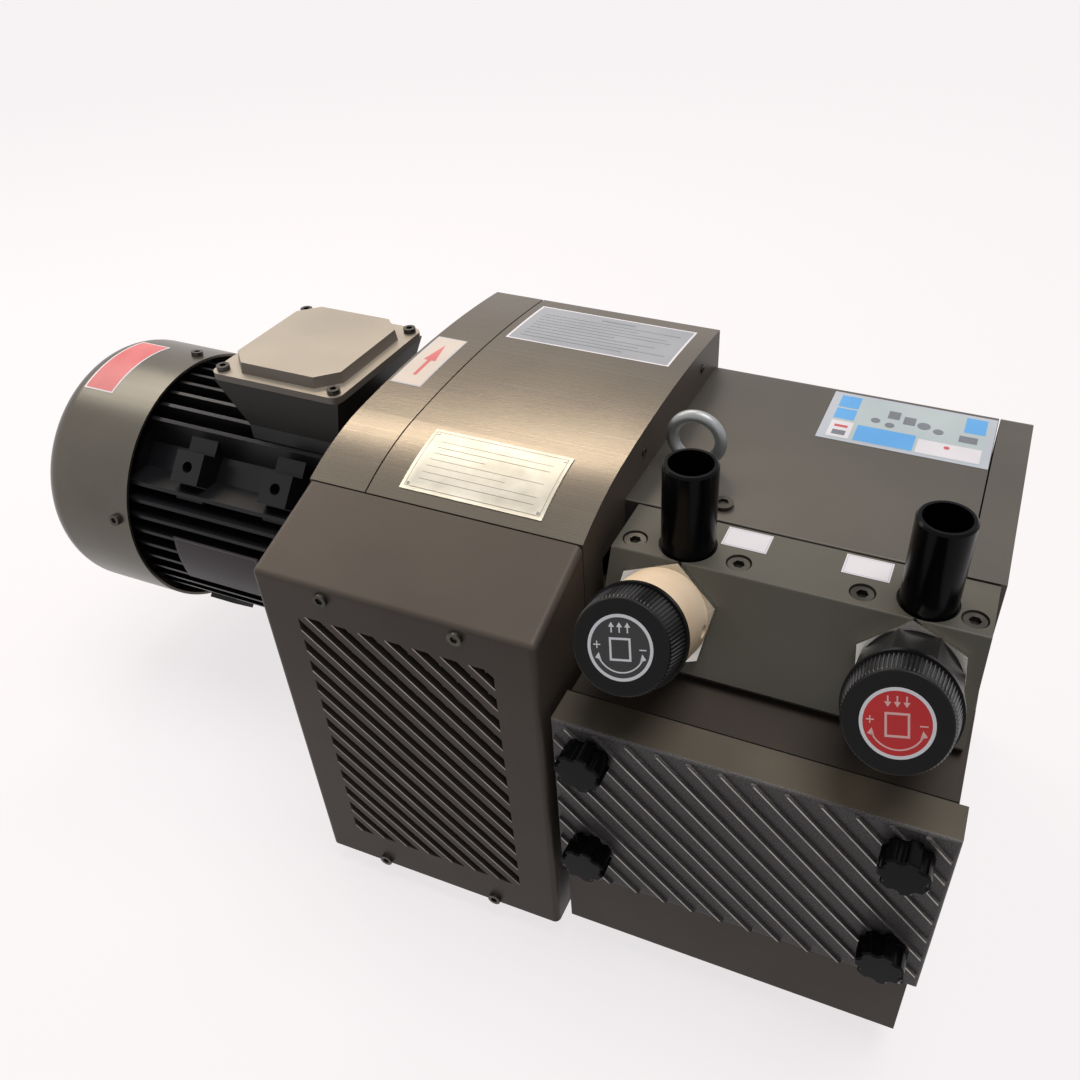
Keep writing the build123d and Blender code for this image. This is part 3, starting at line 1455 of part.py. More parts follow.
knob_taper = math.degrees(math.atan((knob_grip_r - knob_face_r) / (knob_front - knob_rear - knob_ring_t)))
pocket_end = valve_tube_end + seam_gap
plate_top = plate_s + plate_t
spring_h = plate_s - poppet_t - seat_gap - poppet_t
for valve_name, valve_x in (("blow", blow_valve_x), ("suction", suction_valve_x)):
    with BuildPart() as knob:
        extrude(disc(on_valve(valve_x, knob_rear), knob_ring_r), amount=knob_ring_t)
        grip_length = knob_front - knob_rear - knob_ring_t
        grip_plane = on_valve(valve_x, knob_rear + knob_ring_t)
        extrude(disc(grip_plane, knob_grip_r), amount=grip_length, taper=knob_taper)
        face_edge = knob.edges().filter_by(GeomType.CIRCLE).sort_by(SortBy.RADIUS)[0]
        fillet(face_edge, radius=knob_edge_r)
        extrude(
            disc(on_valve(valve_x, knob_rear), valve_tube_r + seam_gap),
            amount=pocket_end - knob_rear,
            mode=Mode.SUBTRACT,
        )
        extrude(disc(on_valve(valve_x, plate_top + end_play), stem_r), amount=pocket_end - plate_top)
    save(knob, f"{valve_name}_knob")

    with BuildPart() as spring_plate:
        extrude(disc(on_valve(valve_x, plate_s), spring_bore_r - 1.0), amount=plate_t)
    save(spring_plate, f"{valve_name}_spring_plate")

    with BuildPart() as poppet:
        extrude(disc(on_valve(valve_x, 0), spring_bore_r - 1.0), amount=poppet_t)
        spring_foot = on_valve(valve_x, poppet_t + spring_wire / 2)
        with BuildLine() as coil:
            Helix(
                pitch=(spring_h - spring_wire) / spring_turns,
                height=spring_h - spring_wire,
                radius=spring_mean_r,
                center=tuple(spring_foot.origin),
                direction=tuple(spring_foot.z_dir),
            )
        with BuildSketch(Plane(origin=coil.line @ 0, x_dir=spring_foot.z_dir, z_dir=coil.line % 0)):
            Rectangle(spring_wire, spring_wire)
        sweep(path=coil.line, is_frenet=True)
    save(poppet, f"{valve_name}_poppet")
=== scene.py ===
import json
import math

import bmesh
import bpy
from mathutils import Matrix, Vector
from mathutils.bvhtree import BVHTree


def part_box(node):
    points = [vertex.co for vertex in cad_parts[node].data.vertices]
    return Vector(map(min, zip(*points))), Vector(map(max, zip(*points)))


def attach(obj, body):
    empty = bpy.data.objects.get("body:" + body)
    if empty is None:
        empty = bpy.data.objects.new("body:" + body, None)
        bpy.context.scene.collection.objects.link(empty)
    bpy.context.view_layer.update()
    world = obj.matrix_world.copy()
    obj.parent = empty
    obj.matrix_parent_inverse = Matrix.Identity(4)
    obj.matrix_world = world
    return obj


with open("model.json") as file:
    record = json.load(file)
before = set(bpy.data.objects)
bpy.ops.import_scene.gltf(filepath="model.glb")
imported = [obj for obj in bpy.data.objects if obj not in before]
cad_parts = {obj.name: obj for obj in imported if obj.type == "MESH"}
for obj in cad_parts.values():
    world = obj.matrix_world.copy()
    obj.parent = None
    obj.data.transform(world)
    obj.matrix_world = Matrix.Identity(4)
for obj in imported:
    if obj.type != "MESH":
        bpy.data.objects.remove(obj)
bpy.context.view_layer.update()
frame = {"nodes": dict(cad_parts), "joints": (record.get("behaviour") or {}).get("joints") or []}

cad_nodes = frame["nodes"]
joints = {joint["name"]: joint for joint in frame["joints"]}
MM = 0.001


# Node trees
def srgb(*channels):
    """Linear colour from 0 to 255 display values."""
    linear = []
    for value in channels:
        share = value / 255
        linear.append(share / 12.92 if share <= 0.04045 else ((share + 0.055) / 1.055) ** 2.4)
    return (*linear, 1.0)


class Tree:
    """A node tree with small helpers to build it."""

    def __init__(self, tree):
        self.tree = tree

    def feed(self, socket, value):
        """Link an output to a socket, or set a plain value on it."""
        if isinstance(value, bpy.types.NodeSocket):
            self.tree.links.new(value, socket)
        else:
            socket.default_value = value

    def add(self, kind, sockets, **settings):
        """New node with its settings, and an output or a value for each socket named."""
        node = self.tree.nodes.new(kind)
        for name, value in settings.items():
            setattr(node, name, value)
        for key, value in sockets.items():
            self.feed(node.inputs[key], value)
        return node

    def calc(self, operation, *values):
        """Result of a math node."""
        return self.add("ShaderNodeMath", dict(enumerate(values)), operation=operation).outputs[0]

    def mix(self, factor, a, b):
        """Colour between a and b."""
        sockets = {"Factor": factor, "A": a, "B": b}
        return self.add("ShaderNodeMix", sockets, data_type="RGBA").outputs["Result"]

    def seen_directly(self):
        """1 for camera, glossy and transmission rays, else 0."""
        path = self.add("ShaderNodeLightPath", {})
        total = path.outputs["Is Camera Ray"]
        for name in ("Is Glossy Ray", "Is Transmission Ray"):
            total = self.calc("MAXIMUM", total, path.outputs[name])
        return total


class Shader(Tree):
    """A Principled material with helpers for its procedural detail."""

    def __init__(self, name, metallic=0.0, specular=0.5):
        self.material = bpy.data.materials.new(name)
        self.material.use_nodes = True
        super().__init__(self.material.node_tree)
        self.body = self.tree.nodes["Principled BSDF"]
        self.feed(self.body.inputs["Metallic"], metallic)
        self.feed(self.body.inputs["Specular IOR Level"], specular)
        coordinates = self.add("ShaderNodeTexCoord", {})
        self.place = coordinates.outputs["Object"]
        self.facing = coordinates.outputs["Normal"]

    def axis(self, vector, name):
        """One coordinate of a vector."""
        return self.add("ShaderNodeSeparateXYZ", {0: vector}).outputs[name]

    def noise(self, scale, detail=4.0, stretch=None):
        """Noise value at a scale per metre, drawn out along the axes if asked."""
        place = self.place
        if stretch:
            place = self.add("ShaderNodeMapping", {"Vector": place, "Scale": stretch}).outputs["Vector"]
        sockets = {"Vector": place, "Scale": scale, "Detail": detail, "Roughness": 0.5}
        return self.add("ShaderNodeTexNoise", sockets).outputs["Fac"]

    def ramp(self, value, *stops):
        """Colour ramp through (position, colour) stops."""
        node = self.add("ShaderNodeValToRGB", {"Fac": value})
        for element, (position, colour) in zip(node.color_ramp.elements, stops):
            element.position = position
            element.color = colour
        return node.outputs["Color"]

    def span(self, value, low, high, low_in=0.0, high_in=1.0):
        """Value mapped from one range, 0 to 1 if not given, to another."""
        source = {"Value": value, "From Min": low_in, "From Max": high_in}
        target = {"To Min": low, "To Max": high}
        return self.add("ShaderNodeMapRange", source | target).outputs["Result"]

    def colour(self, value):
        self.feed(self.body.inputs["Base Color"], value)

    def rough(self, value):
        self.feed(self.body.inputs["Roughness"], value)

    def bump(self, value, strength, distance):
        sockets = {"Height": value, "Strength": strength, "Distance": distance}
        self.feed(self.body.inputs["Normal"], self.add("ShaderNodeBump", sockets).outputs["Normal"])


# Finishes
# Noise scales of paint, metal, plastic and the cover, per metre
BLOTCH_SCALE = 9.0
FLECK_SCALE = 1800.0
PAINT_GLOSS_SCALE = 30.0
PEEL_SCALE = 900.0
METAL_TONE_SCALE = 60.0
METAL_GLOSS_SCALE = 45.0
SCRATCH_SCALE = 700.0
PLASTIC_TONE_SCALE = 14.0
PLASTIC_GLOSS_SCALE = 50.0
SPARK_SCALE = 1100.0
COVER_GRAIN_SCALE = 1300.0
COVER_GLOSS_SCALE = 40.0
COVER_BUMP_SCALE = 800.0
# Depths and strengths of the grain, and the share of flecks in paint
GRAIN_DEPTH = 0.12 * MM
METAL_DEPTH = 0.1 * MM
COVER_DEPTH = 0.15 * MM
METAL_GRAIN = 0.12
COVER_GRAIN = 0.4
FLECK_SHARE = 0.25
# Look of upright faces, and how far up a face points where it counts as upright and as level
SIDE_ROUGHNESS = 0.44
SIDE_METALLIC = 0.1
UPRIGHT = 0.3
LEVEL = 0.6


def paint(name, dark, light, metallic, roughness, grain=0.15, specular=0.5, brushed=None, sides=None):
    """Satin metallic paint with a fine orange-peel grain and soft blotches.

    Tones are display values. It may be brushed along an axis. Given a side tone, upright faces take it
    and turn duller,
    while level faces keep the coat: this paints shade by which way a face points.
    """
    less, more = 0.05, 0.07
    s = Shader(name, metallic, specular)
    dark, light = srgb(*dark), srgb(*light)
    blotches = s.ramp(s.noise(BLOTCH_SCALE, detail=3.0), (0.3, dark), (0.7, light))
    flecks = s.ramp(s.noise(FLECK_SCALE, detail=1.0), (0.35, dark), (0.65, light))
    coat = s.mix(FLECK_SHARE, blotches, flecks)
    gloss = s.noise(PAINT_GLOSS_SCALE, stretch=brushed)
    # Painted shade by facing: upright faces take the side tone and level faces the coat, so that one of
    # the two is painted darker than the other.
    if sides:
        level = s.span(s.axis(s.facing, "Z"), 0.0, 1.0, low_in=UPRIGHT, high_in=LEVEL)
        s.colour(s.mix(level, srgb(*sides), coat))
        s.feed(s.body.inputs["Metallic"], s.span(level, SIDE_METALLIC, metallic))
        side_gloss = s.span(gloss, SIDE_ROUGHNESS - less, SIDE_ROUGHNESS + more)
        s.rough(s.calc("MULTIPLY_ADD", level, roughness - SIDE_ROUGHNESS, side_gloss))
    else:
        s.colour(coat)
        s.rough(s.span(gloss, roughness - less, roughness + more))
    s.bump(s.noise(PEEL_SCALE, detail=2.0), grain, GRAIN_DEPTH)
    return s.material


def metal(name, dark, light, roughness, metallic=1.0):
    """Bare metal with fine scratches or a cast skin."""
    s = Shader(name, metallic)
    s.colour(s.ramp(s.noise(METAL_TONE_SCALE), (0.3, srgb(*dark)), (0.7, srgb(*light))))
    s.rough(s.span(s.noise(METAL_GLOSS_SCALE), roughness - 0.08, roughness + 0.1))
    s.bump(s.noise(SCRATCH_SCALE), METAL_GRAIN, METAL_DEPTH)
    return s.material


def plastic(name, dark, light, roughness, grain=0.1, scale=SPARK_SCALE, specular=0.5):
    """Moulded plastic or rubber with a fine spark-eroded grain."""
    s = Shader(name, specular=specular)
    s.colour(s.ramp(s.noise(PLASTIC_TONE_SCALE), (0.35, srgb(*dark)), (0.65, srgb(*light))))
    s.rough(s.span(s.noise(PLASTIC_GLOSS_SCALE), roughness - 0.04, roughness + 0.08))
    s.bump(s.noise(scale, detail=2.0), grain, GRAIN_DEPTH)
    return s.material


def ink(name, dark, light, roughness=0.35):
    """Smooth printed film."""
    return plastic(name, dark, light, roughness, grain=0.05)


def cover_paint(name, split_y):
    """Bronze paint on the cover's sides, and a coarse dark texture on its ribbed front."""
    s = Shader(name, metallic=0.12, specular=0.2)
    front = s.calc("LESS_THAN", s.axis(s.place, "Y"), split_y)
    blotches = s.noise(BLOTCH_SCALE, detail=3.0)
    grain = s.noise(COVER_GRAIN_SCALE, detail=2.0)
    side = s.ramp(blotches, (0.3, srgb(84, 78, 68)), (0.7, srgb(98, 91, 79)))
    face = s.ramp(grain, (0.35, srgb(70, 68, 68)), (0.7, srgb(114, 110, 109)))
    s.colour(s.mix(front, side, face))
    s.rough(s.span(s.noise(COVER_GLOSS_SCALE), 0.42, 0.56))
    s.bump(s.noise(COVER_BUMP_SCALE, detail=2.0), COVER_GRAIN, COVER_DEPTH)
    return s.material


# Materials of the CAD nodes
# Noise stretch of brushed paint, with its streaks along X
BRUSHED = (0.05, 40.0, 40.0)
# Tone of upright faces. On the arched hood it is darker than the tops, a painted shade on its sides; on
# the filter housing it is the plain paint of the sides.
SIDE_TONE = (84, 76, 69)
# Darker tone of the terminal lid's bevel and upright faces: painted shade.
LID_SIDE_SHADE = (120, 111, 102)
COVER_FRONT_DEPTH = 3.5 * MM
cover_low, cover_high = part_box("filter_cover")

# Arched hood and strip: brushed metallic tops, with a painted shade on their upright faces.
bronze = paint(
    "bronze_paint",
    (98, 92, 83),
    (114, 107, 96),
    metallic=0.85,
    roughness=0.27,
    specular=0.16,
    brushed=BRUSHED,
    sides=SIDE_TONE,
)
bronze_top = paint("pump_hood_paint", (76, 73, 67), (90, 86, 79), 0.55, 0.42)
bronze_dark = paint("front_paint", (77, 69, 63), (91, 83, 75), 0.1, SIDE_ROUGHNESS, specular=0.16)
# Filter housing: its level faces are painted darker than its upright sides, a painted shadow under the
# regulator block.
housing_mat_shaded_top = paint(
    "filter_housing_paint",
    (58, 52, 47),
    (70, 63, 57),
    metallic=SIDE_METALLIC,
    roughness=SIDE_ROUGHNESS,
    specular=0.16,
    sides=SIDE_TONE,
)
block_mat = paint("block_paint", (84, 82, 74), (98, 95, 86), 0.12, 0.42, specular=0.22)
cowl_mat = paint("cowl_paint", (86, 83, 75), (102, 98, 89), 0.8, 0.3, brushed=BRUSHED)
black_mat = paint("black_paint", (14, 14, 16), (24, 24, 27), 0.0, 0.34, grain=0.35, specular=0.26)
box_mat = paint("box_paint", (42, 41, 39), (54, 53, 50), 0.0, 0.42, specular=0.2)
# Terminal lid: its bevel and upright faces are painted darker than its top, a painted shade.
lid_mat = paint("lid_paint", (156, 147, 134), (176, 167, 152), 0.45, 0.36, sides=LID_SIDE_SHADE)
cover_mat = cover_paint("cover_paint", cover_low[1] + COVER_FRONT_DEPTH)

dark_steel = metal("dark_steel", (52, 50, 46), (82, 79, 73), 0.36, metallic=0.8)
zinc = metal("zinc_steel", (120, 120, 116), (170, 170, 164), 0.32)
steel_mat = metal("steel", (120, 120, 122), (160, 160, 162), 0.3)
eye_mat = metal("eye_steel", (138, 142, 143), (172, 176, 176), 0.4, metallic=0.7)
nut_mat = metal("bright_nut", (170, 168, 160), (205, 203, 196), 0.26)
iron_mat = metal("cast_iron", (52, 52, 52), (70, 70, 70), 0.55, metallic=0.6)
aluminium_mat = metal("cast_aluminium", (120, 120, 118), (160, 160, 156), 0.4)
core_mat = metal("core_steel", (80, 80, 84), (100, 100, 104), 0.45)
copper_mat = metal("copper_winding", (150, 86, 44), (184, 110, 60), 0.35)

rubber_mat = plastic("rubber", (22, 22, 22), (34, 34, 34), 0.7, grain=0.3, specular=0.2)
star_mat = plastic("star_rubber", (130, 34, 24), (150, 44, 32), 0.6)
gasket_mat = plastic("gasket", (40, 40, 40), (52, 52, 52), 0.7)
black_plastic = plastic("black_plastic", (6, 6, 8), (10, 10, 12), 0.2, specular=0.07)
knob_plastic = plastic("knob_plastic", (9, 9, 10), (15, 14, 15), 0.34, grain=0.2, specular=0.16)
# Knob ribs: a lighter copy of the knobs' black plastic, a painted highlight on the ribs.
rib_plastic_lightened = plastic("knob_rib_plastic", (26, 26, 28), (36, 35, 37), 0.3, grain=0.2, specular=0.4)
sleeve_plastic = plastic("sleeve_plastic", (22, 22, 22), (30, 30, 30), 0.3, specular=0.32)
fan_plastic = plastic("fan_plastic", (24, 24, 24), (34, 34, 34), 0.5)
board_mat = plastic("board_plastic", (96, 58, 34), (112, 70, 42), 0.45)
cream_mat = plastic("cream_plastic", (226, 200, 168), (240, 218, 188), 0.5)
vane_mat = plastic("vane_carbon", (30, 30, 31), (42, 42, 43), 0.4)
paper_mat = plastic("filter_paper", (206, 192, 160), (226, 214, 184), 0.8, grain=0.4, scale=400.0)

NODE_MATERIALS = {
    bronze: "hood_strip arc_hood",
    bronze_top: "top_cover end_hood",
    block_mat: "regulator_block",
    bronze_dark: "fan_housing grille_hood",
    housing_mat_shaded_top: "filter_housing",
    cowl_mat: "fan_cowl",
    black_mat: "motor_frame motor_end_shield motor_flange",
    box_mat: "terminal_box",
    lid_mat: "terminal_lid",
    cover_mat: "filter_cover",
    zinc: "foot_plates housing_bolts",
    dark_steel: "hood_screws motor_screws pump_screws",
    steel_mat: "motor_shaft pump_shaft ball_bearings blow_spring_plate suction_spring_plate"
    " blow_poppet suction_poppet",
    eye_mat: "eye_bolt",
    nut_mat: "valve_bodies",
    iron_mat: "motor_coupling_hub pump_coupling_hub vane_rotor drive_cover far_cover bearing_cap"
    " pump_cylinder",
    aluminium_mat: "cooler cooling_fan",
    core_mat: "stator_core rotor_core",
    copper_mat: "stator_windings",
    rubber_mat: "rubber_feet shaft_seal",
    star_mat: "coupling_star",
    gasket_mat: "cover_gasket",
    black_plastic: "cable_gland star_grip_1 star_grip_2 star_grip_3 star_grip_4 hose_nozzles",
    sleeve_plastic: "suction_valve_sleeve",
    knob_plastic: "blow_knob suction_knob",
    fan_plastic: "motor_fan",
    board_mat: "terminal_board",
    cream_mat: "blow_valve_sleeve",
    vane_mat: "vanes",
    paper_mat: "filter_cartridges",
}
for material, names in NODE_MATERIALS.items():
    for name in names.split():
        mesh = cad_nodes[name].data
        mesh.materials.clear()
        mesh.materials.append(material)

# Materials of labels, plates and light edge strips, the strips partly worn bare metal and partly
# painted highlight
white_mat = ink("label_white", (216, 213, 219), (230, 227, 232))
ring_mat = ink("label_ring", (238, 238, 243), (246, 246, 250), 0.3)
ink_black = ink("label_black", (20, 20, 22), (27, 27, 29), 0.4)
ink_red = ink("label_red", (196, 30, 34), (212, 40, 42))
pink_mark = ink("mark_pink", (240, 190, 186), (248, 206, 200))
faded_red = ink("faded_red", (186, 70, 74), (214, 112, 112))
ink_grey = ink("label_grey", (104, 110, 118), (126, 132, 140), 0.45)
pale_blue = ink("label_pale_blue", (176, 182, 192), (190, 196, 206))
mid_blue = ink("label_mid_blue", (84, 160, 222), (98, 172, 232))
mist_mat = ink("label_mist", (172, 185, 188), (187, 199, 202))
arch_ground = ink("arch_ground", (142, 146, 152), (158, 161, 167), 0.32)
strip_ground = ink("strip_ground", (200, 186, 174), (214, 202, 191))
engraved = ink("engraved_line", (120, 116, 104), (138, 134, 120), 0.5)
plum_mat = plastic("motor_plate", (38, 29, 35), (52, 40, 46), 0.3, specular=0.3)
# Light strips on edges: bare metal where paint is worn, and a painted highlight standing in for edges
# that catch the light.
edge_wear_and_highlight = metal("edge_wear_and_highlight", (130, 126, 121), (176, 172, 166), 0.34, metallic=0.9)
plate_mat = metal("data_plate", (182, 178, 164), (206, 202, 189), 0.4, metallic=0.4)


def finish_mesh(name, bm, materials, body, smooth_angle=35):
    """Object from a bmesh, riding on a body."""
    bmesh.ops.recalc_face_normals(bm, faces=bm.faces)
    mesh = bpy.data.meshes.new(name)
    bm.to_mesh(mesh)
    bm.free()
    for material in materials:
        mesh.materials.append(material)
    obj = bpy.data.objects.new(name, mesh)
    bpy.context.scene.collection.objects.link(obj)
    mesh.shade_smooth()
    mesh.set_sharp_from_angle(angle=math.radians(smooth_angle))
    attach(obj, body)


# Ribs of the regulating knobs. Distances along a knob's axis start at the block's slanted face.
VALVE_DIR = Vector(joints["blow_knob_turn"]["axis"]).normalized()
KNOB_PLACE = 50.0 * MM
KNOB_FRONT = 71.5 * MM
RIB_COUNT = 80
RIB_POINTS = RIB_COUNT * 4
GROOVE_DEPTH = 0.3
# Distance along the axis, radius of the grip and height of the ribs, in millimetres
RIB_STATIONS = ((51.6, 28.6, 0.05), (52.4, 28.5, 0.65), (68.6, 26.85, 0.65), (69.8, 26.6, 0.05))
# Distance along the axis and radius of the ribs' hidden inner side
RIB_INNER = ((51.6, 27.4), (69.8, 25.4))


def knob_frame(name):
    """Matrix on a knob's axis at the block's slanted face: X right, Y up the slant, Z out."""
    across = Vector((1, 0, 0))
    matrix = Matrix((across, VALVE_DIR.cross(across), VALVE_DIR)).transposed().to_4x4()
    matrix.translation = Vector(joints[name + "_turn"]["pos_m"]) - VALVE_DIR * KNOB_PLACE
    return matrix


def rib_ring(bm, matrix, along, radius, height=0.0, groove=0.0):
    """Ring of points round a knob: of every four, two stand out for a rib and two lie in a groove."""
    ring = []
    for index in range(RIB_POINTS):
        angle = 2 * math.pi * index / RIB_POINTS
        r = (radius + (height if index % 4 in (0, 1) else -groove)) * MM
        point = Vector((r * math.cos(angle), r * math.sin(angle), along * MM))
        ring.append(bm.verts.new(matrix @ point))
    return ring


def knob_ribs(name):
    """Fine ribs round a knob's tapered grip, as one closed sleeve."""
    bm = bmesh.new()
    matrix = knob_frame(name)
    outer = [rib_ring(bm, matrix, *station, groove=GROOVE_DEPTH) for station in RIB_STATIONS]
    inner = [rib_ring(bm, matrix, *station) for station in RIB_INNER]
    loops = [inner[0], *outer, inner[1], inner[0]]
    for low, high in zip(loops, loops[1:]):
        for index in range(RIB_POINTS):
            after = (index + 1) % RIB_POINTS
            bm.faces.new((low[index], low[after], high[after], high[index]))
    finish_mesh(name + "_ribs", bm, [rib_plastic_lightened], name, smooth_angle=25)


# Flat artwork: outlines in millimetres
def disc(radius, x=0.0, y=0.0, count=24):
    """Round outline about a point."""
    angles = [2 * math.pi * k / count for k in range(count)]
    return [(x + radius * math.cos(angle), y + radius * math.sin(angle)) for angle in angles]


def box(x0, y0, x1, y1):
    """Rectangle between two corners."""
    return [(x0, y0), (x1, y0), (x1, y1), (x0, y1)]


def inset(width, depth, margin=0.0):
    """Rectangle of a size from the origin, less a margin all round."""
    return box(margin, margin, width - margin, depth - margin)


def hollow_box(x0, y0, x1, y1, line):
    """Four bars just inside a rectangle's edges."""
    return [
        box(x0, y0, x1, y0 + line),
        box(x0, y1 - line, x1, y1),
        box(x0, y0 + line, x0 + line, y1 - line),
        box(x1 - line, y0 + line, x1, y1 - line),
    ]


def border(width, depth, margin, line):
    """Four bars inside a rectangle of a size from the origin."""
    return hollow_box(margin, margin, width - margin, depth - margin, line)


def ruled_lines(x0, y0, x1, y1, count, line, shares):
    """Lines that fill a field from top to bottom, each over a share of its width."""
    pitch = (y1 - y0) / count
    outlines = []
    for k in range(count):
        middle = y1 - (k + 0.5) * pitch
        end = x0 + (x1 - x0) * shares[k % len(shares)]
        outlines.append(box(x0, middle - line / 2, end, middle + line / 2))
    return outlines


def upright_arrow(x, y0, y1, shaft, head_width, head_length):
    """Arrow from y0 to its tip at y1."""
    neck = y1 - math.copysign(head_length, y1 - y0)
    return [
        (x - shaft / 2, y0),
        (x + shaft / 2, y0),
        (x + shaft / 2, neck),
        (x + head_width / 2, neck),
        (x, y1),
        (x - head_width / 2, neck),
        (x - shaft / 2, neck),
    ]


def curved_bar(radius, start, end, width, count=24):
    """Curved stroke as one closed outline, angles in degrees."""
    outer, inner = [], []
    for k in range(count + 1):
        angle = math.radians(start + (end - start) * k / count)
        for side, points in ((width / 2, outer), (-width / 2, inner)):
            points.append(((radius + side) * math.cos(angle), (radius + side) * math.sin(angle)))
    return outer + inner[::-1]


def cut_flat(outline, step):
    """Flat bmesh of an outline, cut along a grid of the step, if given, so that it can bend."""
    flat = bmesh.new()
    flat.faces.new([flat.verts.new((u, v, 0)) for u, v in outline])
    if step is None:
        return flat
    for axis, normal in ((0, (1, 0, 0)), (1, (0, 1, 0))):
        low = min(point[axis] for point in outline)
        high = max(point[axis] for point in outline)
        cut = math.ceil(low / step) * step
        while cut < high:
            geometry = flat.verts[:] + flat.edges[:] + flat.faces[:]
            where = Vector(normal) * cut
            bmesh.ops.bisect_plane(flat, geom=geometry, plane_co=where, plane_no=normal)
            cut += step
    return flat


# Depth of an artwork's underside below its surface, in millimetres
ARTWORK_FOOT = 0.05


def artwork(name, body, place, layers, step=None):
    """Thin closed plates of several colours on one surface.

    place(u, v) gives a point and its normal. Each layer is (material, lift in mm, outlines).
    A step cuts long shapes so that they follow a curved surface.
    """
    bm = bmesh.new()
    materials = []
    for material, lift, outlines in layers:
        if material not in materials:
            materials.append(material)
        index = materials.index(material)
        for outline in outlines:
            flat = cut_flat(outline, step)
            flat.verts.index_update()
            top, low = [], []
            for vert in flat.verts:
                point, normal = place(vert.co.x, vert.co.y)
                top.append(bm.verts.new(point + normal * lift * MM))
                low.append(bm.verts.new(point - normal * ARTWORK_FOOT * MM))
            for face in flat.faces:
                upper = bm.faces.new([top[v.index] for v in face.verts])
                lower = bm.faces.new([low[v.index] for v in reversed(face.verts)])
                upper.material_index = lower.material_index = index
            for edge in flat.edges:
                if len(edge.link_faces) == 1:
                    a, b = (v.index for v in edge.verts)
                    side = bm.faces.new((top[a], top[b], low[b], low[a]))
                    side.material_index = index
            flat.free()
    finish_mesh(name, bm, materials, body)


# Symbols on the knobs
DISC_LIFT = 0.12
RING_LIFT = 0.14
MARK_LIFT = 0.2
LABEL_RADIUS = 17.9
RING_WIDTH = 1.7
LABEL_TURN = math.radians(12.0)
SWEEP_RADIUS = 13.2
# Angle along the sweep and the corners of its arrowhead from there
SWEEP_HEADS = (
    (204, ((-1.9, -0.4), (1.5, -1.6), (0.2, 2.6))),
    (336, ((-1.5, -1.6), (1.9, -0.4), (-0.2, 2.6))),
)
PLUS_AND_MINUS = [
    box(-14.6, 1.0, -10.8, 1.6),
    box(-13.0, -0.6, -12.4, 1.0),
    box(-13.0, 1.6, -12.4, 3.2),
    box(10.4, -0.9, 14.2, -0.3),
]


def knob_label(name, ground, mark, tail, tip):
    """Round label on a knob's face: ring, square, three arrows, plus, minus and a double arrow."""
    matrix = knob_frame(name) @ Matrix.Rotation(LABEL_TURN, 4, "Z")

    def place(u, v):
        return matrix @ Vector((u * MM, v * MM, KNOB_FRONT)), VALVE_DIR

    arrows = [
        upright_arrow(x, tail, tip, shaft=0.75, head_width=3.2, head_length=2.6)
        for x in (-4.4, 0.0, 4.4)
    ]
    heads = []
    for degrees, corners in SWEEP_HEADS:
        x = SWEEP_RADIUS * math.cos(math.radians(degrees))
        y = SWEEP_RADIUS * math.sin(math.radians(degrees))
        heads.append([(x + dx, y + dy) for dx, dy in corners])
    marks = [
        *hollow_box(-5.9, -7.0, 5.9, 5.4, line=1.15),
        *arrows,
        *PLUS_AND_MINUS,
        curved_bar(SWEEP_RADIUS, start=206, end=334, width=0.75),
        *heads,
    ]
    middle = LABEL_RADIUS - RING_WIDTH / 2
    ring = [curved_bar(middle, start, start + 90, RING_WIDTH) for start in (0, 90, 180, 270)]
    layers = [
        (ground, DISC_LIFT, [disc(LABEL_RADIUS - RING_WIDTH, count=72)]),
        (ring_mat, RING_LIFT, ring),
        (mark, MARK_LIFT, marks),
    ]
    artwork(name + "_label", name, place, layers)


knob_ribs("blow_knob")
knob_ribs("suction_knob")
knob_label("blow_knob", ink_black, ring_mat, tail=8.0, tip=13.6)
knob_label("suction_knob", ink_red, pink_mark, tail=13.6, tip=8.0)


# Surfaces that labels lie on. Each of these gives a place function for artwork.
# Height where a dropped point starts, and the motor's shaft, in millimetres
DROP_HEIGHT = 1000.0
SHAFT_Y = 37.5
SHAFT_Z = 168.3
HOOD = ("arc_hood", "hood_strip")


def dropped_on(names, x0, y0):
    """u along X and v along Y, dropped on the topmost of the CAD nodes below."""
    trees = []
    for name in names:
        mesh = cad_nodes[name].data
        polygons = [tuple(p.vertices) for p in mesh.polygons]
        trees.append(BVHTree.FromPolygons([v.co for v in mesh.vertices], polygons))

    def place(u, v):
        start = Vector((x0 + u, y0 + v, DROP_HEIGHT)) * MM
        hits = [tree.ray_cast(start, Vector((0, 0, -1))) for tree in trees]
        hits = [hit for hit in hits if hit[0] is not None]
        point, normal = max(hits, key=lambda hit: hit[0].z)[:2]
        return point, normal if normal.z > 0 else -normal

    return place


def level_at(x0, y0, z):
    """u along X and v along Y on a level surface."""

    def place(u, v):
        return Vector(((x0 + u) * MM, (y0 + v) * MM, z)), Vector((0, 0, 1))

    return place


def round_motor(x0, degrees, radius):
    """u along X and v round the motor's shaft, from an angle above the back."""

    def place(u, v):
        angle = math.radians(degrees) + v / radius
        normal = Vector((0, math.cos(angle), math.sin(angle)))
        centre = Vector((x0 + u, SHAFT_Y, SHAFT_Z)) * MM
        return centre + normal * radius * MM, normal

    return place


def facing_front(y):
    """u along X and v up on an upright surface that faces the front."""

    def place(u, v):
        return Vector((u, y, v)) * MM, Vector((0, -1, 0))

    return place


# Heights of a printed label's layers above its surface, in millimetres
BASE = 0.14
GROUND = 0.2
PRINT = 0.26
OVERPRINT = 0.32

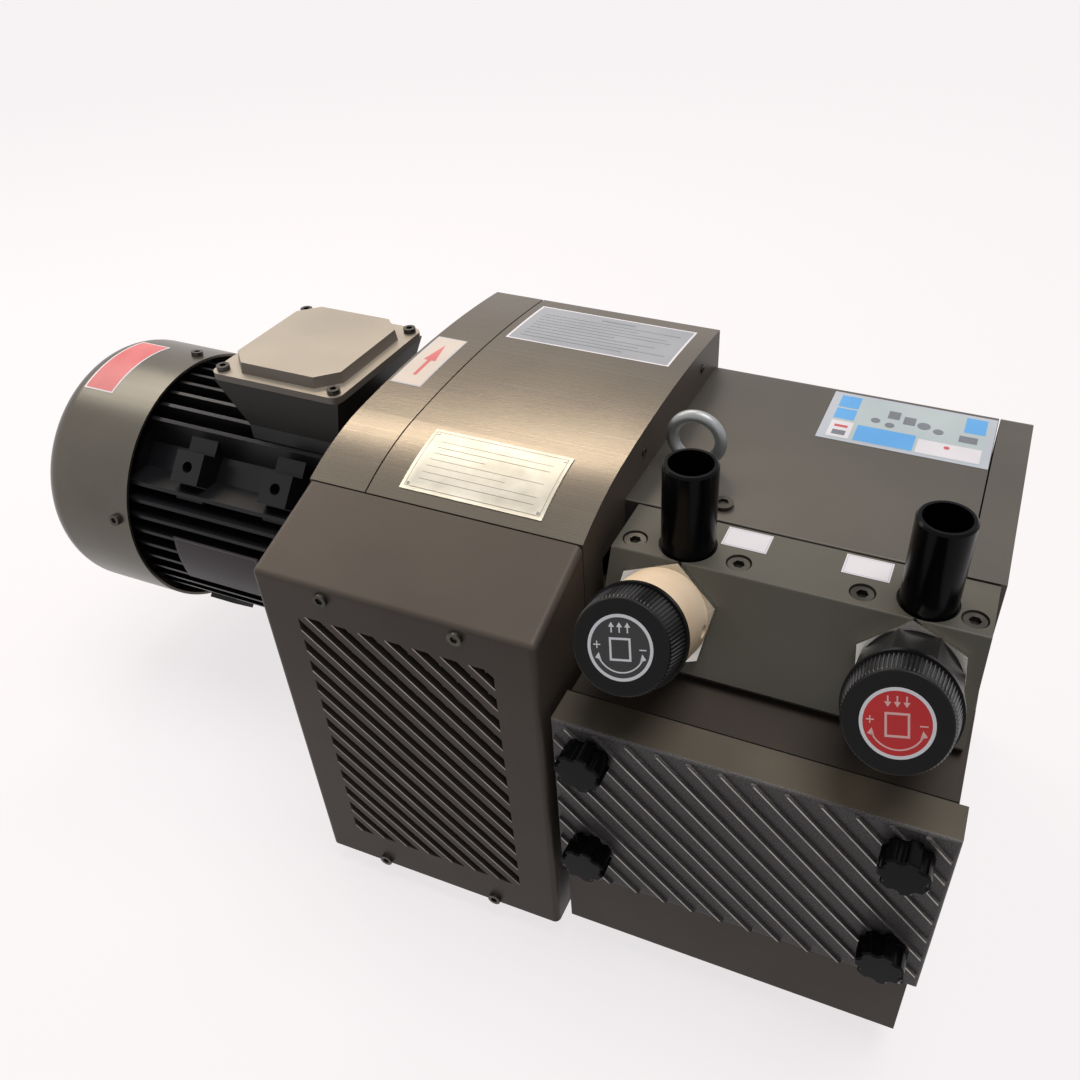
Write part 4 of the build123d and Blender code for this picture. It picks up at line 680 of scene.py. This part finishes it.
# Data plate: a bare metal plate with an engraved border, ruled lines and four rivets
PLATE_W, PLATE_D = 94.0, 47.5
PLATE_LIFT = 0.7
ENGRAVED_LIFT = 0.74
RIVET_INSET = 4.0
RIVET_LIFT = 0.6
RIVET_RADIUS, RIVET_TOP, RIVET_HEIGHT = 1.5 * MM, 0.8 * MM, 0.9 * MM
PLATE_SHARES = (1.0, 1.0, 0.46, 1.0, 0.7, 1.0)
on_plate = dropped_on(HOOD, x0=-131.0, y0=-84.5)
plate_lines = ruled_lines(9.0, 6.0, PLATE_W - 9.0, 40.0, count=7, line=0.3, shares=PLATE_SHARES)
plate_layers = [
    (plate_mat, PLATE_LIFT, [inset(PLATE_W, PLATE_D)]),
    (engraved, ENGRAVED_LIFT, border(PLATE_W, PLATE_D, margin=2.2, line=0.35) + plate_lines),
]
artwork("data_plate", "casing", on_plate, plate_layers, step=6)

rivets = bmesh.new()
for u in (RIVET_INSET, PLATE_W - RIVET_INSET):
    for v in (RIVET_INSET, PLATE_D - RIVET_INSET):
        point, normal = on_plate(u, v)
        turn = Vector((0, 0, 1)).rotation_difference(normal).to_matrix().to_4x4()
        turn.translation = point + normal * RIVET_LIFT * MM
        bmesh.ops.create_cone(
            rivets,
            cap_ends=True,
            segments=20,
            radius1=RIVET_RADIUS,
            radius2=RIVET_TOP,
            depth=RIVET_HEIGHT,
            matrix=turn,
        )
finish_mesh("plate_rivets", rivets, [zinc], "casing")

# Pale label near the back of the arched hood: border, title bar and ruled lines only
LABEL_W, LABEL_D = 123.0, 62.0
LABEL_SHARES = (1.0, 0.72, 0.94, 0.98, 0.6, 0.9, 0.8)
title_bar = box(52.0, 52.5, 78.0, 54.5)
label_lines = ruled_lines(8.0, 6.0, LABEL_W - 8.0, 50.0, count=9, line=0.9, shares=LABEL_SHARES)
arch_layers = [
    (white_mat, BASE, [inset(LABEL_W, LABEL_D)]),
    (arch_ground, GROUND, [inset(LABEL_W, LABEL_D, margin=1.6)]),
    (ink_grey, PRINT, [title_bar, *label_lines]),
]
on_arch = dropped_on(HOOD, x0=-144.0, y0=82.5)
artwork("arch_label", "casing", on_arch, arch_layers, step=6)

# Strip with the arrow for the direction of turning
STRIP_W, STRIP_D = 23.0, 65.0
strip_arrow = upright_arrow(STRIP_W / 2, 12.0, 54.0, shaft=2.6, head_width=9.0, head_length=22.0)
strip_layers = [
    (pale_blue, BASE, [inset(STRIP_W, STRIP_D)]),
    (strip_ground, GROUND, [inset(STRIP_W, STRIP_D, margin=0.8)]),
    (faded_red, PRINT, [strip_arrow]),
]
on_strip = dropped_on(HOOD, x0=-188.0, y0=0.5)
artwork("arrow_label", "casing", on_strip, strip_layers, step=6)

# Picture label on the pump hood, with plain shapes
CARD_W, CARD_D = 112.0, 64.0
blue_fields = [
    box(6.0, 44.0, 20.0, 60.0),
    box(6.0, 28.0, 20.0, 42.0),
    box(24.0, 4.0, 63.0, 24.0),
    box(92.0, 40.0, 106.0, 60.0),
]
white_fields = [box(65.0, 4.0, 106.0, 21.0), box(6.0, 4.0, 21.0, 25.0)]
grey_shapes = [
    box(41.0, 40.0, 49.0, 50.0),
    box(52.0, 36.0, 60.0, 46.0),
    disc(3.2, 34.0, 34.0),
    disc(3.2, 44.0, 31.0),
    disc(4.5, 66.0, 38.0),
    disc(3.5, 76.0, 34.0),
    box(90.0, 27.0, 102.0, 35.0),
    box(9.0, 7.0, 18.0, 13.0),
]
red_shapes = [box(9.0, 17.0, 18.0, 20.0), disc(2.0, 84.0, 16.0, count=20)]
card_layers = [
    (pale_blue, BASE, [inset(CARD_W, CARD_D)]),
    (mist_mat, GROUND, [box(5.0, 3.0, CARD_W - 5.0, CARD_D - 3.0)]),
    (mid_blue, PRINT, blue_fields),
    (white_mat, PRINT, white_fields),
    (ink_grey, OVERPRINT, grey_shapes),
    (faded_red, OVERPRINT, red_shapes),
]
on_top = dropped_on(("top_cover",), x0=83.0, y0=84.5)
artwork("picture_label", "casing", on_top, card_layers, step=8)

# Two small bare labels beside the hose stubs, on the flat top of the regulator block
STUB_W, STUB_D = 27.0, 17.5
STUB_LIFT = 0.16
STUB_LABEL_Y = -48.6
BLOCK_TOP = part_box("regulator_block")[1][2]
stub_layers = [
    (white_mat, STUB_LIFT, [inset(STUB_W, STUB_D)]),
    (pale_blue, GROUND, border(STUB_W, STUB_D, margin=0.8, line=0.4)),
]
for name, label_x in (("stub_label_1", 59.6), ("stub_label_2", 130.0)):
    artwork(name, "casing", level_at(label_x, STUB_LABEL_Y, BLOCK_TOP), stub_layers)

# Red label with a white border, bent round the fan cowl
COWL_R = 103.0
RED_W, RED_D = 27.5, COWL_R * math.radians(38.0)
red_layers = [
    (white_mat, BASE, [inset(RED_W, RED_D)]),
    (faded_red, GROUND, [inset(RED_W, RED_D, margin=1.2)]),
]
on_cowl = round_motor(x0=-470.0, degrees=76.5, radius=COWL_R)
artwork("cowl_label", "casing", on_cowl, red_layers, step=4)

# Dark plate on the motor's fins
FIN_R = 97.0
DARK_W, DARK_D = 77.0, FIN_R * math.radians(24.0)
DARK_LIFT = 0.6
DARK_BORDER_LIFT = 0.66
dark_layers = [
    (plum_mat, DARK_LIFT, [inset(DARK_W, DARK_D)]),
    (ink_grey, DARK_BORDER_LIFT, border(DARK_W, DARK_D, margin=1.6, line=0.35)),
]
on_fins = round_motor(x0=-365.0, degrees=171.0, radius=FIN_R)
artwork("motor_plate", "casing", on_fins, dark_layers, step=3)


# Light strips along the grille's lower slot edges and the crests of the filter cover's ribs: partly
# worn paint, partly a painted highlight where the edges catch the light
def clipped_band(centre, angle, offset, width, half_w, half_h):
    """Slanted band cut to a rectangle about a centre, as a closed outline, or None outside it."""
    direction = Vector((math.cos(angle), math.sin(angle)))
    side = Vector((-direction.y, direction.x))
    reach = 2 * (half_w + half_h)
    corners = [
        side * (offset + s * width / 2) + direction * d * reach
        for s, d in ((-1, -1), (-1, 1), (1, 1), (1, -1))
    ]
    for axis, bound in ((0, half_w), (0, -half_w), (1, half_h), (1, -half_h)):
        way = 1 if bound > 0 else -1
        kept = []
        for a, b in zip(corners, corners[1:] + corners[:1]):
            inside_a = way * (bound - a[axis]) >= 0
            inside_b = way * (bound - b[axis]) >= 0
            if inside_a:
                kept.append(a)
            if inside_a != inside_b:
                kept.append(a.lerp(b, (bound - a[axis]) / (b[axis] - a[axis])))
        corners = kept
        if len(corners) < 3:
            return None
    return [(centre[0] + c.x, centre[1] + c.y) for c in corners]


def bands(centre, degrees, pitch, count, width, half_w, half_h, shift=0.0):
    """Row of parallel clipped bands, each moved sideways by shift from its line."""
    outlines = []
    for k in range(count):
        offset = (k - (count - 1) / 2) * pitch + shift
        outline = clipped_band(centre, math.radians(degrees), offset, width, half_w, half_h)
        if outline:
            outlines.append(outline)
    return outlines


EDGE_STRIP_LIFT = 0.12
GRILLE_FRONT = -157.5
GRILLE_CENTRE = (-99.5, 150.5)
GRILLE_HALF_W, GRILLE_HALF_H = 64.5, 102.0
COVER_MARGIN = 2.6
slot_edges = bands(
    GRILLE_CENTRE,
    degrees=-43.4,
    pitch=12.4,
    count=19,
    width=0.7,
    half_w=GRILLE_HALF_W,
    half_h=GRILLE_HALF_H,
    shift=-3.55,
)
slot_layers = [(edge_wear_and_highlight, EDGE_STRIP_LIFT, slot_edges)]
artwork("slot_edges", "casing", facing_front(GRILLE_FRONT), slot_layers)

cover_centre = [(cover_low[k] + cover_high[k]) / 2 / MM for k in (0, 2)]
half_w, half_h = ((cover_high[k] - cover_low[k]) / 2 / MM - COVER_MARGIN for k in (0, 2))
crests = bands(
    cover_centre, degrees=-45.0, pitch=12.9, count=19, width=0.9, half_w=half_w, half_h=half_h
)
crest_layers = [(edge_wear_and_highlight, EDGE_STRIP_LIFT, crests)]
artwork("rib_crests", "cover", facing_front(cover_low[1] / MM), crest_layers)

# Floor: it shows pale with the object's soft shadow, and bounces little light up
PALE = srgb(251, 247, 248)
FLOOR_BOUNCE = (0.22, 0.215, 0.21, 1)
FLOOR_GLOW = 0.8
FLOOR_HALF = 6.0
FLOOR_DROP = 0.0002

floor_bm = bmesh.new()
bmesh.ops.create_grid(floor_bm, x_segments=1, y_segments=1, size=FLOOR_HALF)
floor_mesh = bpy.data.meshes.new("floor")
floor_bm.to_mesh(floor_mesh)
floor_bm.free()
floor = bpy.data.objects.new("floor", floor_mesh)
bpy.context.scene.collection.objects.link(floor)
floor.location = (0, 0, -FLOOR_DROP)

floor_look = Shader("floor", specular=0.0)
floor_look.rough(0.9)
floor_look.colour(floor_look.mix(floor_look.seen_directly(), FLOOR_BOUNCE, PALE))
matt = floor_look.body.outputs["BSDF"]
glow = floor_look.add("ShaderNodeEmission", {"Color": PALE}).outputs["Emission"]
glow_share = floor_look.calc("MULTIPLY", floor_look.seen_directly(), FLOOR_GLOW)
surface = floor_look.add("ShaderNodeMixShader", {"Fac": glow_share, 1: matt, 2: glow})
floor_look.feed(floor_look.tree.nodes["Material Output"].inputs["Surface"], surface.outputs["Shader"])
floor_mesh.materials.append(floor_look.material)

# World: a dim cool light, and the same pale tone where it is seen
WORLD_TONE = (0.90, 0.92, 1.0, 1)
WORLD_STRENGTH = 0.2
world = bpy.data.worlds.new("world")
bpy.context.scene.world = world
world.use_nodes = True
sky = Tree(world.node_tree)
light = sky.tree.nodes["Background"]
sky.feed(light.inputs["Color"], WORLD_TONE)
sky.feed(light.inputs["Strength"], WORLD_STRENGTH)
dim = light.outputs["Background"]
pale = sky.add("ShaderNodeBackground", {"Color": PALE}).outputs["Background"]
surface = sky.add("ShaderNodeMixShader", {"Fac": sky.seen_directly(), 1: dim, 2: pale})
sky.feed(sky.tree.nodes["World Output"].inputs["Surface"], surface.outputs["Shader"])


# Lamps
def lamp(name, power, colour, place, aim, size=None, degrees=None):
    """Area lamp of a size in metres, or a sun as wide as an angle in degrees, aimed at a point."""
    data = bpy.data.lights.new(name, "AREA" if size else "SUN")
    if size:
        data.shape = "RECTANGLE"
        data.size, data.size_y = size
    else:
        data.angle = math.radians(degrees)
    data.energy = power
    data.color = colour
    obj = bpy.data.objects.new(name, data)
    bpy.context.scene.collection.objects.link(obj)
    obj.location = place
    obj.rotation_euler = (Vector(aim) - Vector(place)).to_track_quat("-Z", "Y").to_euler()


lamp("sky", power=1.95, colour=(1.0, 0.98, 0.96), place=(0.35, 0.15, 2.0), aim=(0, 0, 0), degrees=36)
lamp(
    "key",
    power=9,
    colour=(1.0, 0.86, 0.7),
    place=(-0.80, 0.82, 1.46),
    aim=(-0.1, -0.05, 0.3),
    size=(0.9, 0.18),
)
lamp(
    "left",
    power=5,
    colour=(1.0, 0.95, 0.88),
    place=(-1.45, 0.25, 1.3),
    aim=(-0.4, 0, 0.2),
    size=(0.8, 0.3),
)

# Camera, at the photograph's viewing angle
CAMERA_PLACE = (0.18403, -0.49776, 0.65361)
YAW = math.radians(21.397)
PITCH = math.radians(38.303)
ROLL = math.radians(-0.108)
camera_data = bpy.data.cameras.new("camera")
camera_data.sensor_width = 36.0
camera_data.lens = 33.93
camera_data.shift_x = -0.0906
camera_data.shift_y = 0.0062
camera = bpy.data.objects.new("camera", camera_data)
bpy.context.scene.collection.objects.link(camera)
bpy.context.scene.camera = camera
forward = Vector((-math.sin(YAW) * math.cos(PITCH), math.cos(YAW) * math.cos(PITCH), -math.sin(PITCH)))
across = Vector((math.cos(YAW), math.sin(YAW), 0))
right = across * math.cos(ROLL) + across.cross(forward) * math.sin(ROLL)
pose = Matrix((right, right.cross(forward), -forward)).transposed().to_4x4()
pose.translation = CAMERA_PLACE
camera.matrix_world = pose

bpy.context.scene.view_settings.view_transform = "Standard"
